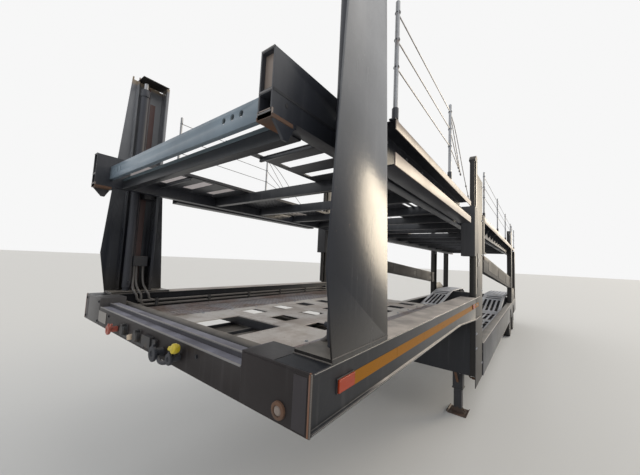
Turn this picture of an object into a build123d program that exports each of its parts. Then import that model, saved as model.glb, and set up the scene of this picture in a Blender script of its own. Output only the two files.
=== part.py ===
"""Two-deck car transporter semi-trailer, parked on its landing legs.

X is across, Y runs rearwards and Z is up. Stations along Y are counted from the front beam's face,
and save() moves every piece so that the origin is on the ground at the middle of the trailer.
"""

import math
import os

from build123d import *

os.makedirs("parts", exist_ok=True)

# Overall sizes, in mm
WIDTH = 2550
HALF = WIDTH / 2
NOSE = 100
TAIL = 12900
MIDDLE = (TAIL - NOSE) / 2

# How far ahead of the tail the rear end's pieces stand
REAR_POST_AHEAD = (2480, 2110)
TAIL_POST_AHEAD = (600, 260)
AXLES_AHEAD = (2950, 1640)
BOGIE_AHEAD = 4600
BOGIE_RISERS_AHEAD = (3750, 800)
RUNWAY_RISE_AHEAD = (4332, 2376)
RUNWAY_FALL_AHEAD = 650

# Sheet thicknesses and the gaps between pieces that move
SHEET = 8
PLATE = 12
RUN_GAP = 8
PAD_GAP = 0.3
PIN_R = 30
PIN_FIT = 0.05

# Gooseneck: two box sills, the sunken floor between them and the kingpin plate
SILL_TOP = 1656
SILL_BOTTOM = 1448
SILL_WIDTH = 192
SILL_LIP = 13
SILL_LIP_REACH = 320
HAUNCH_START = 2421
HAUNCH_BOTTOM = 1370
SILL_IN = HALF - SILL_WIDTH
SILL_WEB_IN = SILL_IN + SILL_LIP
NECK_FLOOR = 1491
NECK_FLOOR_START = 290
NECK_MEMBER_DEPTH = 70
LATTICE_HALF = 660
LATTICE_HOLE = (220, 200)
LATTICE_PITCH = (430, 370)
LATTICE_WINDOW = ((-340, 220), (475, 930))
SKID_BOTTOM = 1375
KINGPIN_Y = 1024
KINGPIN_R = 25.4
KINGPIN_LENGTH = 84

# Front beam and its couplings
BEAM_TOP = 1609
BEAM_STEP = 25
BEAM_BOTTOM = 1445
BEAM_DEPTH = 130
CORNER_WIDTH = 375
CORNER_DEPTH = 180
CROSS_TUBE_R = 50
CROSS_TUBE_Y = 235
CROSS_TUBE_Z = 1545

# Front masts: a wide outer plate, bowed forwards at its kink, and a lipped channel behind it
FRONT_MAST_Y = (120, 614)
FRONT_MAST_KINK = (58, 2020)
FRONT_MAST_HEAD_Y = (165, 470)
FRONT_MAST_TOP = 3745
FRONT_CHANNEL_Y = (205, 452)
FRONT_CHANNEL_LIP = 1225
FRONT_CHANNEL_IN = 1111
CYLINDER_R = 36
MAST_FOOT = 18

# Mid masts, at the step down to the low deck: a tall front column and a lower plate behind it
MID_MAST_Y = (3430, 4020)
MID_MAST_FOOT = 510
MID_MAST_TOP = 3480
MID_MAST_CAP = 95
MID_PLATE_TOP = 3340
COLUMN_DEPTH = 110
COLUMN_IN = 1196
COLUMN_OUT = HALF - SILL_LIP

# Rear posts between the two axles, and tail posts behind them
REAR_POST_Y = tuple(TAIL - ahead for ahead in REAR_POST_AHEAD)
REAR_POST_TOP = 3320
REAR_CHANNEL_IN = 1155
TAIL_POST_Y = tuple(TAIL - ahead for ahead in TAIL_POST_AHEAD)
TAIL_POST_TOP = 2740
POST_WEB_ARCH = (1230, 1400, 1180)

# Guide rails of the mid masts, each a stem with a head that a carriage wraps
RAIL_STEM = 48
RAIL_HEAD = 16
RAIL_HEAD_WIDTH = 56
RAIL_STEM_WIDTH = 16
RAIL_X = 1225
CARRIAGE_IN = 1110
CARRIAGE_OUT = HALF - 2
CARRIAGE_DEPTH = 80
CARRIAGE_TOP = 2842
FRONT_CARRIAGE_BOTTOM = 2190

# Low deck
LOW_TOP = 965
LOW_BOTTOM = 510
LOW_FLANGE = 125
LOW_MEMBER = (652, 772)
LOW_MEMBER_WIDTH = 100
LOW_MEMBER_START = MID_MAST_Y[1] + 240
LOW_MEMBER_PITCH = 720
LOW_RUNWAY = (500, 1100)
LOW_TAIL = TAIL - 40
TAIL_MEMBER = 120
LOW_FLOOR = 800
RAISED_FLOOR = 1193
LOW_RUNWAY_LINE = (
    (MID_MAST_Y[1] + 90, LOW_FLOOR),
    (TAIL - RUNWAY_RISE_AHEAD[0], LOW_FLOOR),
    (TAIL - RUNWAY_RISE_AHEAD[1], RAISED_FLOOR),
    (TAIL - RUNWAY_FALL_AHEAD, RAISED_FLOOR),
    (LOW_TAIL - 20, LOW_FLOOR + 181),
)
RUNWAY_FLANGE = 28
RUNWAY_SLOT = 70
RUNWAY_SLOT_LENGTH = 1130
BOGIE_BEAM = (540, 640)
BOGIE_BEAM_Z = (612, 772)
BOGIE_START = TAIL - BOGIE_AHEAD
BOGIE_RISERS_Y = tuple(TAIL - ahead for ahead in BOGIE_RISERS_AHEAD)

# Wheels and axles
TYRE_R = 394
RIM_R = 222
TYRE_WIDTH = 240
TWIN_PITCH = 272
WHEEL_OUT = 1262
AXLES_Y = tuple(TAIL - ahead for ahead in AXLES_AHEAD)
AXLE_R = 63
ARCH_R = 452
GUARD_R = 432
HUB_BORE = 45
TURNED_SIDES = 20

# Landing legs
LEG_X = 990
LEG_BEHIND = 379
LEG_Y = MID_MAST_Y[0] + LEG_BEHIND
LEG_SIZE = 130
LEG_INNER = 104
LEG_TOP = 877
LEG_SPLIT = 330
LEG_FOOT = 260

# Upper decks
DECK_IN = 1020
DECK_OUT = 1100
DECK_WALL = 8
FRONT_TUBE_Z = (2592, 2678)
FRONT_BOX_TOP = 2850
NOSE_BEAM_Z = (2627, 2758)
NOSE_HOLES_X = (632, 703, 773)
NOSE_SLOTS_X = (-930, -862, -795)
FRONT_DECK_REAR = 3680
REAR_DECK_FRONT = 3740
REAR_DECK_Z = (2600, 2830)
DECK_MEMBER_DEPTH = 88
DECK_MEMBER_PITCH = 620
DECK_RUNWAY_IN = 430
FRONT_FLOOR = 2698
REAR_FLOOR = 2760
WING_Y = (655, 2980)
WING_WEB = 1142
WING_TOP = 2842
WING_BOTTOM = 2581
WING_TOP_LIP = 56
WING_BOTTOM_LIP = 74
REAR_WING_LIP = 90
REAR_WING_START = 4190
POLE_R = 13
POLE_HEIGHT = 726
FRONT_POLES = (669, 1956)
FRONT_WIRE_END = 2350
REAR_POLE_PITCH = 1890
WIRE_R = 4
WIRE_HEIGHTS = (317, 484, 652)

# Pins that carry the decks: their stations and heights
PIN_AHEAD = 110
FRONT_GUIDE_PIN = (375, 2739)
FRONT_CARRIAGE_PIN = (MID_MAST_Y[0] - PIN_AHEAD, 2739)
REAR_CARRIAGE_PIN = (MID_MAST_Y[1] + PIN_AHEAD, 2700)
REAR_GUIDE_PIN = (sum(REAR_POST_Y) / 2, 2700)
PIN_START = 1050
GUIDE_HEIGHT = 360
FRONT_GUIDE_LENGTH = 90
REAR_GUIDE_LENGTH = 150

# Lift arms of the rear deck
ARM_PIVOT = (REAR_POST_Y[0] - 190, 1640)
ARM_TIP = (MID_MAST_Y[1] + 270, 2200)
ARM_ROOT_DEPTH = 350
ARM_TIP_DEPTH = 260
ARM_THICK = 74
ROLLER_R = 60
ROLLER_GAP = 5

# Fittings
LAMP_Z = (1530, 1588)
LAMPS_Y = (171, MID_MAST_Y[0] - 260)
RED_COUPLING = (-500, 1488)
YELLOW_COUPLING = (454, 1560)
SOCKETS_X = (-340, -120)
SOCKET_Z = 1510
TANK_PLACE = (300, 600)
TANK_R = 118
UNDERRUN_HALF = 1150
UNDERRUN_Z = (430, 530)
RAMP_X = (80, 460)
RAMP_Z = (760, 850)


def block(x, y, z):
    """A box between three pairs of limits."""
    centre = Pos(sum(x) / 2, sum(y) / 2, sum(z) / 2)
    return centre * Box(x[1] - x[0], y[1] - y[0], z[1] - z[0])


def side_prism(points, x):
    """An outline of (Y, Z) points, extruded across from x[0] to x[1]."""
    outline = Polyline(*[(x[0], y, z) for y, z in points], close=True)
    return extrude(make_face(outline), amount=x[1] - x[0], dir=(1, 0, 0))


def end_prism(points, y):
    """An outline of (X, Z) points, extruded rearwards from y[0] to y[1]."""
    outline = Polyline(*[(x, y[0], z) for x, z in points], close=True)
    return extrude(make_face(outline), amount=y[1] - y[0], dir=(0, 1, 0))


def plan_prism(points, z):
    """An outline of (X, Y) points, extruded upwards from z[0] to z[1]."""
    outline = Polyline(*[(x, y, z[0]) for x, y in points], close=True)
    return extrude(make_face(outline), amount=z[1] - z[0], dir=(0, 0, 1))


def rod(start, end, radius, sides=None):
    """A round bar from one point to another; with a number of sides, a prism that stands for it."""
    run = Vector(*end) - Vector(*start)
    if sides:
        bar = extrude(RegularPolygon(radius, sides), amount=run.length)
    else:
        bar = Cylinder(radius, run.length, align=(Align.CENTER, Align.CENTER, Align.MIN))
    return Plane(origin=start, z_dir=run) * bar


def cross_rod(x, place, radius, sides=None):
    """A round bar across the trailer, centred at (Y, Z)."""
    return rod((x[0], *place), (x[1], *place), radius, sides)


def upright(x, y, z, radius, sides=None):
    """A round bar standing up."""
    return rod((x, y, z[0]), (x, y, z[1]), radius, sides)


def turned(profile, place):
    """A many-sided ring about a line across the trailer, from a closed profile of (X, radius) points."""
    steps = [2 * math.pi * i / TURNED_SIDES for i in range(TURNED_SIDES + 1)]
    ring = [[Vector(x, place[0] + r * math.cos(a), place[1] + r * math.sin(a)) for a in steps] for x, r in profile]
    faces = []
    for i in range(len(profile)):
        near, far = ring[i], ring[(i + 1) % len(profile)]
        for k in range(TURNED_SIDES):
            corners = (near[k], near[k + 1], far[k + 1], far[k])
            faces.append(Face(Wire.make_polygon(corners, close=True)))
    return Solid(Shell(faces))


def band(line, depth):
    """The closed outline of a strip that hangs below a line of (Y, Z) points."""
    return list(line) + [(y, z - depth) for y, z in reversed(line)]


def channel_x(y, z, x, wall=SHEET):
    """A channel across the trailer, open to the rear."""
    outer = block(x, y, z)
    return outer - block(x, (y[0] + wall, y[1]), (z[0] + wall, z[1] - wall))


def hollow_y(x, y, z, wall):
    """A rectangular tube along the trailer."""
    outer = block(x, y, z)
    return outer - block((x[0] + wall, x[1] - wall), y, (z[0] + wall, z[1] - wall))


def both(piece):
    """The piece and its mirror image on the other side."""
    return [piece, mirror(piece, about=Plane.YZ)]


def stations(first, last, pitch):
    """Even stations from first to last, about one pitch apart."""
    count = max(1, round((last - first) / pitch))
    return [first + (last - first) * i / count for i in range(count + 1)]


def save(name, *pieces):
    """Write one node, moved so that the origin is under the trailer's middle."""
    solids = [solid for piece in pieces for solid in piece.solids()]
    node = Compound(children=[Pos(0, -MIDDLE, 0) * solid for solid in solids])
    export_step(node, f"parts/{name}.step")


# Gooseneck
def gooseneck_sill():
    rear = MID_MAST_Y[0]
    bottom = [(SHEET, SILL_BOTTOM), (HAUNCH_START, SILL_BOTTOM), (rear, HAUNCH_BOTTOM)]
    body = [*bottom, (rear, SILL_TOP - PLATE), (SHEET, SILL_TOP - PLATE)]
    flange = [(y, z + PLATE) for y, z in bottom]
    girder = side_prism(body, (SILL_WEB_IN, COLUMN_OUT))
    girder += side_prism(band(flange, PLATE), (SILL_IN, HALF))
    girder += block((SILL_IN, HALF), (SHEET, rear), (SILL_TOP - PLATE, SILL_TOP))
    for z in (HAUNCH_BOTTOM, SILL_TOP - PLATE):
        girder += block((COLUMN_OUT, HALF), (rear, rear + SILL_LIP_REACH), (z, z + PLATE))
    return girder


def front_beam():
    inner = HALF - CORNER_WIDTH
    low_top = BEAM_TOP - BEAM_STEP
    half_depth = BEAM_DEPTH / 2
    fold = [
        (0, BEAM_BOTTOM),
        (0, low_top),
        (half_depth, low_top),
        (half_depth, BEAM_TOP),
        (BEAM_DEPTH, BEAM_TOP),
        (BEAM_DEPTH, BEAM_TOP - 60),
        (BEAM_DEPTH - SHEET, BEAM_TOP - 60),
        (BEAM_DEPTH - SHEET, BEAM_TOP - SHEET),
        (half_depth + SHEET, BEAM_TOP - SHEET),
        (half_depth + SHEET, low_top - SHEET),
        (SHEET, low_top - SHEET),
        (SHEET, BEAM_BOTTOM),
    ]
    beam = side_prism(fold, (-inner, inner))
    for side in (-1, 1):
        near, sill, far = (sorted((side * a, side * b)) for a, b in (
            (inner, inner + SHEET), (inner, SILL_IN), (inner, HALF)))
        beam += block(far, (0, SHEET), (BEAM_BOTTOM, SILL_TOP))
        beam += block(near, (0, CORNER_DEPTH), (BEAM_BOTTOM, SILL_TOP))
        beam += block(sill, (0, CORNER_DEPTH), (SILL_TOP - SHEET, SILL_TOP))
    return beam


def front_cross_tube():
    place = (CROSS_TUBE_Y, CROSS_TUBE_Z)
    span = (-SILL_WEB_IN, SILL_WEB_IN)
    outer = cross_rod(span, place, CROSS_TUBE_R, 16)
    return outer - cross_rod(span, place, CROSS_TUBE_R - SHEET, 16)


LIP_X = (SILL_IN, SILL_WEB_IN)


def neck_members():
    top = NECK_FLOOR - SHEET
    z = (top - NECK_MEMBER_DEPTH, top)
    rows = stations(NECK_FLOOR_START + 40, MID_MAST_Y[0] - 160, 560)
    members = [channel_x((y, y + 60), z, (-SILL_WEB_IN, SILL_WEB_IN)) for y in rows]
    lip = SILL_BOTTOM + PLATE
    notches = [block(x, (y, y + 60), (z[0], lip)) for y in rows for x in (LIP_X, (-LIP_X[1], -LIP_X[0]))]
    return [member - notches for member in members]


def centre_lattice():
    """The floor's middle plate: a large window at the front and three columns of square openings."""
    z = (NECK_FLOOR - SHEET, NECK_FLOOR)
    through = (NECK_FLOOR - PLATE, NECK_FLOOR + PLATE)
    y0, y1 = NECK_FLOOR_START, MID_MAST_Y[0]
    plate = block((-LATTICE_HALF, LATTICE_HALF), (y0, y1), z)
    plate -= block(*LATTICE_WINDOW, through)
    first = LATTICE_WINDOW[1][1] + 160
    width, length = LATTICE_HOLE
    for y in stations(first, y1 - length - 130, LATTICE_PITCH[1]):
        for column in (-1, 0, 1):
            x = column * LATTICE_PITCH[0]
            plate -= block((x - width / 2, x + width / 2), (y, y + length), through)
    return plate


def neck_runway():
    x = (LATTICE_HALF, SILL_IN)
    y = (NECK_FLOOR_START, MID_MAST_Y[0])
    tray = block((x[0], SILL_WEB_IN), y, (NECK_FLOOR - SHEET, NECK_FLOOR))
    return tray + block((x[1] - SHEET, x[1]), y, (NECK_FLOOR, NECK_FLOOR + RUNWAY_FLANGE))


def kingpin_plate():
    y = (KINGPIN_Y - 550, KINGPIN_Y + 600)
    rib_top = NECK_FLOOR - SHEET - NECK_MEMBER_DEPTH
    skid = block((-450, 450), y, (SKID_BOTTOM, SKID_BOTTOM + PLATE))
    for x in (-442, -150, 150, 442):
        skid += block((x - SHEET, x + SHEET), y, (SKID_BOTTOM, rib_top))
    pin_bottom = SKID_BOTTOM - KINGPIN_LENGTH
    return skid + upright(0, KINGPIN_Y, (pin_bottom, SKID_BOTTOM), KINGPIN_R)


def drop_wall():
    y0 = MID_MAST_Y[0]
    span = (-COLUMN_IN, COLUMN_IN)
    wall = block(span, (y0, y0 + PLATE), (LOW_MEMBER[0], NECK_FLOOR))
    wall += block(span, (y0, y0 + 150), LOW_MEMBER)
    foot = (LEG_Y + LEG_SIZE / 2 + 15, MID_MAST_Y[1] + 40)
    return wall, block(span, foot, (LOW_MEMBER[0] - 40, LOW_MEMBER[1]))


# Masts and posts
def front_mast():
    front, rear = FRONT_MAST_HEAD_Y
    outline = [
        (FRONT_MAST_Y[0], SILL_TOP),
        (FRONT_MAST_Y[1], SILL_TOP),
        (rear, FRONT_MAST_TOP - 70),
        (rear - 60, FRONT_MAST_TOP),
        (front + PLATE, FRONT_MAST_TOP),
        (front + PLATE, FRONT_MAST_TOP + 30),
        (front, FRONT_MAST_TOP + 30),
        FRONT_MAST_KINK,
    ]
    mast = side_prism(outline, (HALF - SHEET, HALF))
    z = (SILL_TOP, FRONT_MAST_TOP - 20)
    y0, y1 = FRONT_CHANNEL_Y
    web = (HALF - SHEET - PLATE, HALF - SHEET)
    mast += block(web, (y0, y1), z)
    mast += block((FRONT_CHANNEL_LIP, web[1]), (y0, y0 + PLATE), z)
    mast += block((FRONT_CHANNEL_IN, web[1]), (y1 - PLATE, y1), z)
    mast += block((FRONT_CHANNEL_IN, FRONT_CHANNEL_IN + PLATE), (y1 - 2 * PLATE, y1), z)
    return mast + block((SILL_IN, HALF), FRONT_MAST_Y, (SILL_TOP, SILL_TOP + MAST_FOOT))


def guide_rail(face, towards, z):
    """A T-shaped rail on a column's face; towards is -1 forwards and 1 rearwards."""
    stem = sorted((face, face + towards * RAIL_STEM))
    head = sorted((face + towards * RAIL_STEM, face + towards * (RAIL_STEM + RAIL_HEAD)))
    rail = block((RAIL_X - RAIL_STEM_WIDTH / 2, RAIL_X + RAIL_STEM_WIDTH / 2), stem, z)
    return rail + block((RAIL_X - RAIL_HEAD_WIDTH / 2, RAIL_X + RAIL_HEAD_WIDTH / 2), head, z)


def mid_mast():
    front, rear = MID_MAST_Y
    web = (COLUMN_OUT - SHEET, COLUMN_OUT)
    outline = [
        (front, MID_MAST_FOOT),
        (rear, MID_MAST_FOOT),
        (rear, MID_PLATE_TOP),
        (front + COLUMN_DEPTH, MID_PLATE_TOP),
        (front + COLUMN_DEPTH, MID_MAST_TOP),
        (front, MID_MAST_TOP),
    ]
    mast = side_prism(outline, web)
    column = (COLUMN_IN, web[0])
    foot = LOW_MEMBER[0]
    mast += block(column, (front, front + COLUMN_DEPTH), (foot, MID_MAST_TOP))
    mast += block(column, (rear - COLUMN_DEPTH, rear), (foot, MID_PLATE_TOP))
    cap = [
        (front - 55, MID_MAST_TOP),
        (front + COLUMN_DEPTH, MID_MAST_TOP),
        (front + COLUMN_DEPTH, MID_MAST_TOP + MID_MAST_CAP - 25),
        (front + COLUMN_DEPTH - 30, MID_MAST_TOP + MID_MAST_CAP),
        (front + 45, MID_MAST_TOP + MID_MAST_CAP),
    ]
    mast += side_prism(cap, (COLUMN_IN - 10, COLUMN_OUT))
    mast += guide_rail(front, -1, (SILL_TOP + MAST_FOOT, MID_MAST_TOP))
    return mast + guide_rail(rear, 1, (LOW_TOP + 200, MID_PLATE_TOP))


def rear_post():
    """A channel post with the lift arm's ears, the tail post and the arched plate between the two."""
    outer = (HALF - SHEET - PLATE, HALF)
    post = None
    for (y0, y1), top in ((REAR_POST_Y, REAR_POST_TOP), (TAIL_POST_Y, TAIL_POST_TOP)):
        z = (LOW_TOP, top)
        web = block(outer, (y0, y1), z)
        post = web if post is None else post + web
        for y in ((y0, y0 + PLATE), (y1 - PLATE, y1)):
            post += block((REAR_CHANNEL_IN, outer[0]), y, z)
    low, high, end = POST_WEB_ARCH
    y0, y1 = REAR_POST_Y[1], TAIL_POST_Y[0]
    arch = [(y0, LOW_TOP), (y1, LOW_TOP), (y1, end), (y0 + 0.6 * (y1 - y0), high), (y0 + 0.3 * (y1 - y0), high), (y0, low)]
    post += side_prism(arch, (outer[0], outer[0] + SHEET))
    ear_depth = ARM_ROOT_DEPTH / 2
    ears = (ARM_PIVOT[1] - ear_depth, ARM_PIVOT[1] + ear_depth)
    inner_ear = (REAR_CHANNEL_IN, REAR_CHANNEL_IN + SHEET)
    outer_ear = (outer[0], outer[0] + SHEET)
    for x in (inner_ear, outer_ear):
        post += block(x, (ARM_PIVOT[0] - 80, REAR_POST_Y[0]), ears)
    return post + cross_rod((inner_ear[0], outer_ear[1]), ARM_PIVOT, PIN_R)


def mast_cylinder():
    x = FRONT_CHANNEL_IN + 74
    y = FRONT_CHANNEL_Y[0] + PLATE + CYLINDER_R + 10
    foot = SILL_TOP + MAST_FOOT
    head = FRONT_MAST_TOP - 170
    barrel = upright(x, y, (foot, head), CYLINDER_R, 12)
    barrel += upright(x, y, (head - 60, head), CYLINDER_R + 6, 12)
    return barrel + upright(x, y, (head, FRONT_MAST_TOP - 40), CYLINDER_R - 14, 8)


def lock_bar():
    y = FRONT_CHANNEL_Y[0] + PLATE + 2 * CYLINDER_R + 18
    x = (HALF - SHEET - PLATE - 24, HALF - SHEET - PLATE)
    return block(x, (y, y + 14), (SILL_TOP + MAST_FOOT, FRONT_MAST_TOP - 40))


# Low deck
BULKHEAD_Y = (sum(REAR_POST_Y) / 2 - 60, sum(REAR_POST_Y) / 2 + 60)


def low_longeron():
    y = (MID_MAST_Y[1], LOW_TAIL)
    side = block((HALF - PLATE, HALF), y, (LOW_BOTTOM, LOW_TOP))
    side += block((HALF - LOW_FLANGE, HALF), y, (LOW_TOP - PLATE, LOW_TOP))
    side += block((HALF - 85, HALF), y, (LOW_BOTTOM, LOW_BOTTOM + PLATE))
    for axle_y in AXLES_Y:
        side -= cross_rod((HALF - 2 * LOW_FLANGE, HALF + PLATE), (axle_y, TYRE_R), ARCH_R, TURNED_SIDES)
    return side


def low_members():
    web = HALF - PLATE
    rows = stations(LOW_MEMBER_START, BOGIE_START - 60, LOW_MEMBER_PITCH)
    half = LOW_MEMBER_WIDTH / 2
    members = [block((-web, web), (y - half, y + half), LOW_MEMBER) for y in rows]
    under_flange = (LOW_MEMBER[0], LOW_TOP - PLATE)
    bulkhead = block((-web, web), BULKHEAD_Y, under_flange)
    inner = LOW_RUNWAY[1]
    runway_foot = LOW_RUNWAY_LINE[2][1] - RUNWAY_FLANGE
    bulkhead += block((-inner, inner), BULKHEAD_Y, (LOW_TOP - PLATE, runway_foot))
    tail = block((-web, web), (LOW_TAIL - TAIL_MEMBER, LOW_TAIL), under_flange)
    return [*members, bulkhead, tail]


def runway_under(y):
    """The height of the low runway's underside at a station."""
    for (y0, z0), (y1, z1) in zip(LOW_RUNWAY_LINE, LOW_RUNWAY_LINE[1:]):
        if y0 <= y <= y1:
            return z0 + (z1 - z0) * (y - y0) / (y1 - y0) - SHEET


def bogie_beam():
    beam = block(BOGIE_BEAM, (BOGIE_START, LOW_TAIL - TAIL_MEMBER), BOGIE_BEAM_Z)
    beam -= block(BOGIE_BEAM, BULKHEAD_Y, (LOW_MEMBER[0], BOGIE_BEAM_Z[1]))
    for y in BOGIE_RISERS_Y:
        foot = BOGIE_BEAM_Z[1]
        riser = [(y, foot), (y + 40, foot), (y + 40, runway_under(y + 40)), (y, runway_under(y))]
        beam += side_prism(riser, BOGIE_BEAM)
    return beam


def low_runway():
    """A tray with long slots in its flat stretch, two cross slots ahead of them and two on the rise's foot."""
    line = LOW_RUNWAY_LINE
    tray = side_prism(band(line, SHEET), LOW_RUNWAY)
    flange = ((LOW_RUNWAY[0], LOW_RUNWAY[0] + SHEET), (LOW_RUNWAY[1] - SHEET, LOW_RUNWAY[1]))
    for x in flange:
        tray += side_prism(band(line, RUNWAY_FLANGE), x)
    flat = line[0][1]
    through = (flat - PLATE, flat + PLATE)
    margin = 90
    lanes = stations(LOW_RUNWAY[0] + margin, LOW_RUNWAY[1] - margin - RUNWAY_SLOT, 120)
    first = line[0][0] + 120
    for y in (first, first + 140):
        tray -= block((LOW_RUNWAY[0] + margin, LOW_RUNWAY[1] - margin), (y, y + RUNWAY_SLOT), through)
    length = RUNWAY_SLOT_LENGTH
    for y in stations(first + 330, line[1][0] - length - 120, length + 150):
        for x in lanes:
            tray -= block((x, x + RUNWAY_SLOT), (y, y + length), through)
    return tray


# Running gear
def axle(y):
    hub_in = WHEEL_OUT - TYRE_WIDTH - TWIN_PITCH
    beam = cross_rod((-hub_in, hub_in), (y, TYRE_R), AXLE_R, 12)
    return beam + cross_rod((-WHEEL_OUT + 60, WHEEL_OUT - 60), (y, TYRE_R), HUB_BORE)


def suspension(y):
    """One side's trailing arm, hanger and air spring."""
    top = BOGIE_BEAM_Z[0]
    arm_z = TYRE_R - AXLE_R
    hanger = block(BOGIE_BEAM, (y - 560, y - 440), (TYRE_R - 60, top))
    arm = block((BOGIE_BEAM[0] + 10, BOGIE_BEAM[1] - 10), (y - 440, y + 420), (arm_z - 50, arm_z))
    spring = upright(sum(BOGIE_BEAM) / 2, y + 320, (arm_z, top), 90, 12)
    return hanger + arm + spring


def mudguard(y):
    x = (WHEEL_OUT - TYRE_WIDTH - TWIN_PITCH, HALF - PLATE)
    centre = (y, TYRE_R)
    shell = cross_rod(x, centre, GUARD_R, TURNED_SIDES) - cross_rod(x, centre, GUARD_R - 4, TURNED_SIDES)
    shell &= block(x, (y - GUARD_R, y + GUARD_R), (TYRE_R + 180, TYRE_R + GUARD_R))
    return shell + block((x[1] - 60, x[1]), (y - 20, y + 20), (TYRE_R + GUARD_R - 4, LOW_TOP - PLATE))


def tyre(y):
    """Twin tyres on the left side, turned about the axle."""
    pair = []
    for i in range(2):
        out = WHEEL_OUT - i * TWIN_PITCH
        inner = out - TYRE_WIDTH
        profile = [
            (inner + 25, RIM_R),
            (inner, TYRE_R - 90),
            (inner + 22, TYRE_R),
            (out - 22, TYRE_R),
            (out, TYRE_R - 90),
            (out - 25, RIM_R),
        ]
        pair.append(turned(profile, (y, TYRE_R)))
    return pair


def rim(y):
    """The twin rims, their discs and the hub, as one turned piece with a true bore."""
    out = WHEEL_OUT - 25
    inner = WHEEL_OUT - TWIN_PITCH - TYRE_WIDTH + 25
    disc = WHEEL_OUT - (TYRE_WIDTH + TWIN_PITCH) / 2
    hub_end = WHEEL_OUT - 40
    profile = [
        (inner, RIM_R),
        (out, RIM_R),
        (out, RIM_R - 16),
        (disc + 60, RIM_R - 24),
        (disc + 14, 110),
        (hub_end, 90),
        (hub_end, HUB_BORE - 15),
        (disc - 90, HUB_BORE - 15),
        (disc - 14, 110),
        (disc - 60, RIM_R - 24),
        (inner, RIM_R - 16),
    ]
    bore = cross_rod((inner, WHEEL_OUT), (y, TYRE_R), HUB_BORE + PIN_FIT)
    return turned(profile, (y, TYRE_R)) - bore


# Landing legs
def landing_leg():
    half, inner, foot = LEG_SIZE / 2, LEG_INNER / 2, LEG_FOOT / 2
    x = (LEG_X - half, LEG_X + half)
    leg = block(x, (LEG_Y - half, LEG_Y + half), (LEG_SPLIT, LEG_TOP))
    leg += block((LEG_X - inner, LEG_X + inner), (LEG_Y - inner, LEG_Y + inner), (16, LEG_SPLIT))
    leg += block((LEG_X - foot, LEG_X + foot), (LEG_Y - foot, LEG_Y + foot), (0, 16))
    return leg + block(x, (LEG_Y + half, LEG_Y + half + 15), LOW_MEMBER)


# Upper front deck
def front_longeron():
    x = (DECK_IN, DECK_OUT)
    y = (-NOSE, FRONT_DECK_REAR)
    bottom, seam = FRONT_TUBE_Z
    beam = hollow_y(x, y, FRONT_TUBE_Z, DECK_WALL)
    beam += hollow_y(x, y, (seam, FRONT_BOX_TOP), DECK_WALL)
    shoe = bottom - 2 * PLATE
    beam += block(x, (-NOSE, 40), (shoe, bottom))
    gusset = [(-NOSE + 10, shoe), (30, shoe), (-5, shoe - 65), (-30, shoe - 65)]
    beam += side_prism(gusset, (DECK_OUT - PLATE, DECK_OUT))
    for pin in (FRONT_GUIDE_PIN, FRONT_CARRIAGE_PIN):
        beam -= cross_rod((PIN_START, DECK_OUT + 10), pin, PIN_R + PIN_FIT)
    return beam


def front_members():
    x = (-DECK_IN, DECK_IN)
    nose = channel_x((0, 56), NOSE_BEAM_Z, x)
    hole_z = NOSE_BEAM_Z[1] - 40
    through = (-PLATE, PLATE)
    for hole in NOSE_HOLES_X:
        nose -= rod((hole, through[0], hole_z), (hole, through[1], hole_z), 16, 12)
    for slot in NOSE_SLOTS_X:
        nose -= block((slot, slot + 14), through, (hole_z - 30, hole_z + 10))
    second = channel_x((75, 135), (FRONT_TUBE_Z[0], FRONT_TUBE_Z[0] + 70), x)
    top = FRONT_FLOOR - SHEET
    rows = stations(360, FRONT_DECK_REAR - 60, DECK_MEMBER_PITCH)
    members = [channel_x((y, y + 60), (top - DECK_MEMBER_DEPTH, top), x) for y in rows]
    return [nose, second, *members]


def front_runway():
    z = (FRONT_FLOOR - SHEET, FRONT_FLOOR)
    tray = block((DECK_RUNWAY_IN, DECK_IN), (130, FRONT_DECK_REAR), z)
    return tray - block((800, 940), (2050, 2190), (z[0] - SHEET, z[1] + SHEET))


def front_wing():
    profile = [
        (DECK_OUT, WING_TOP),
        (HALF, WING_TOP),
        (HALF, WING_TOP - WING_TOP_LIP),
        (HALF - SHEET, WING_TOP - WING_TOP_LIP),
        (HALF - SHEET, WING_TOP - SHEET),
        (WING_WEB + SHEET, WING_TOP - SHEET),
        (WING_WEB + SHEET, WING_BOTTOM + SHEET),
        (HALF - SHEET, WING_BOTTOM + SHEET),
        (HALF - SHEET, WING_BOTTOM + WING_BOTTOM_LIP),
        (HALF, WING_BOTTOM + WING_BOTTOM_LIP),
        (HALF, WING_BOTTOM),
        (WING_WEB, WING_BOTTOM),
        (WING_WEB, WING_TOP - SHEET),
        (DECK_OUT, WING_TOP - SHEET),
    ]
    return end_prism(profile, WING_Y)


def handrail(rows, base, reach=0):
    """Poles on a deck's outer edge with three wires between them, the wires' ends past the last pole."""
    x = HALF - POLE_R - 2
    rail = None
    for y in rows:
        pole = upright(x, y, (base, base + POLE_HEIGHT), POLE_R, 6)
        rail = pole if rail is None else rail + pole
    for height in WIRE_HEIGHTS:
        rail += rod((x, rows[0], base + height), (x, rows[-1] + reach, base + height), WIRE_R, 4)
    return rail


# Upper rear deck
def rear_longeron():
    beam = hollow_y((DECK_IN, DECK_OUT), (REAR_DECK_FRONT, TAIL), REAR_DECK_Z, DECK_WALL)
    for pin in (REAR_CARRIAGE_PIN, REAR_GUIDE_PIN):
        beam -= cross_rod((PIN_START, DECK_OUT + 10), pin, PIN_R + PIN_FIT)
    return beam


def rear_members():
    x = (-DECK_IN, DECK_IN)
    top = REAR_FLOOR - SHEET
    rows = stations(REAR_DECK_FRONT + 20, TAIL - 80, 1.5 * DECK_MEMBER_PITCH)
    return [channel_x((y, y + 60), (top - DECK_MEMBER_DEPTH, top), x) for y in rows]


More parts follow.
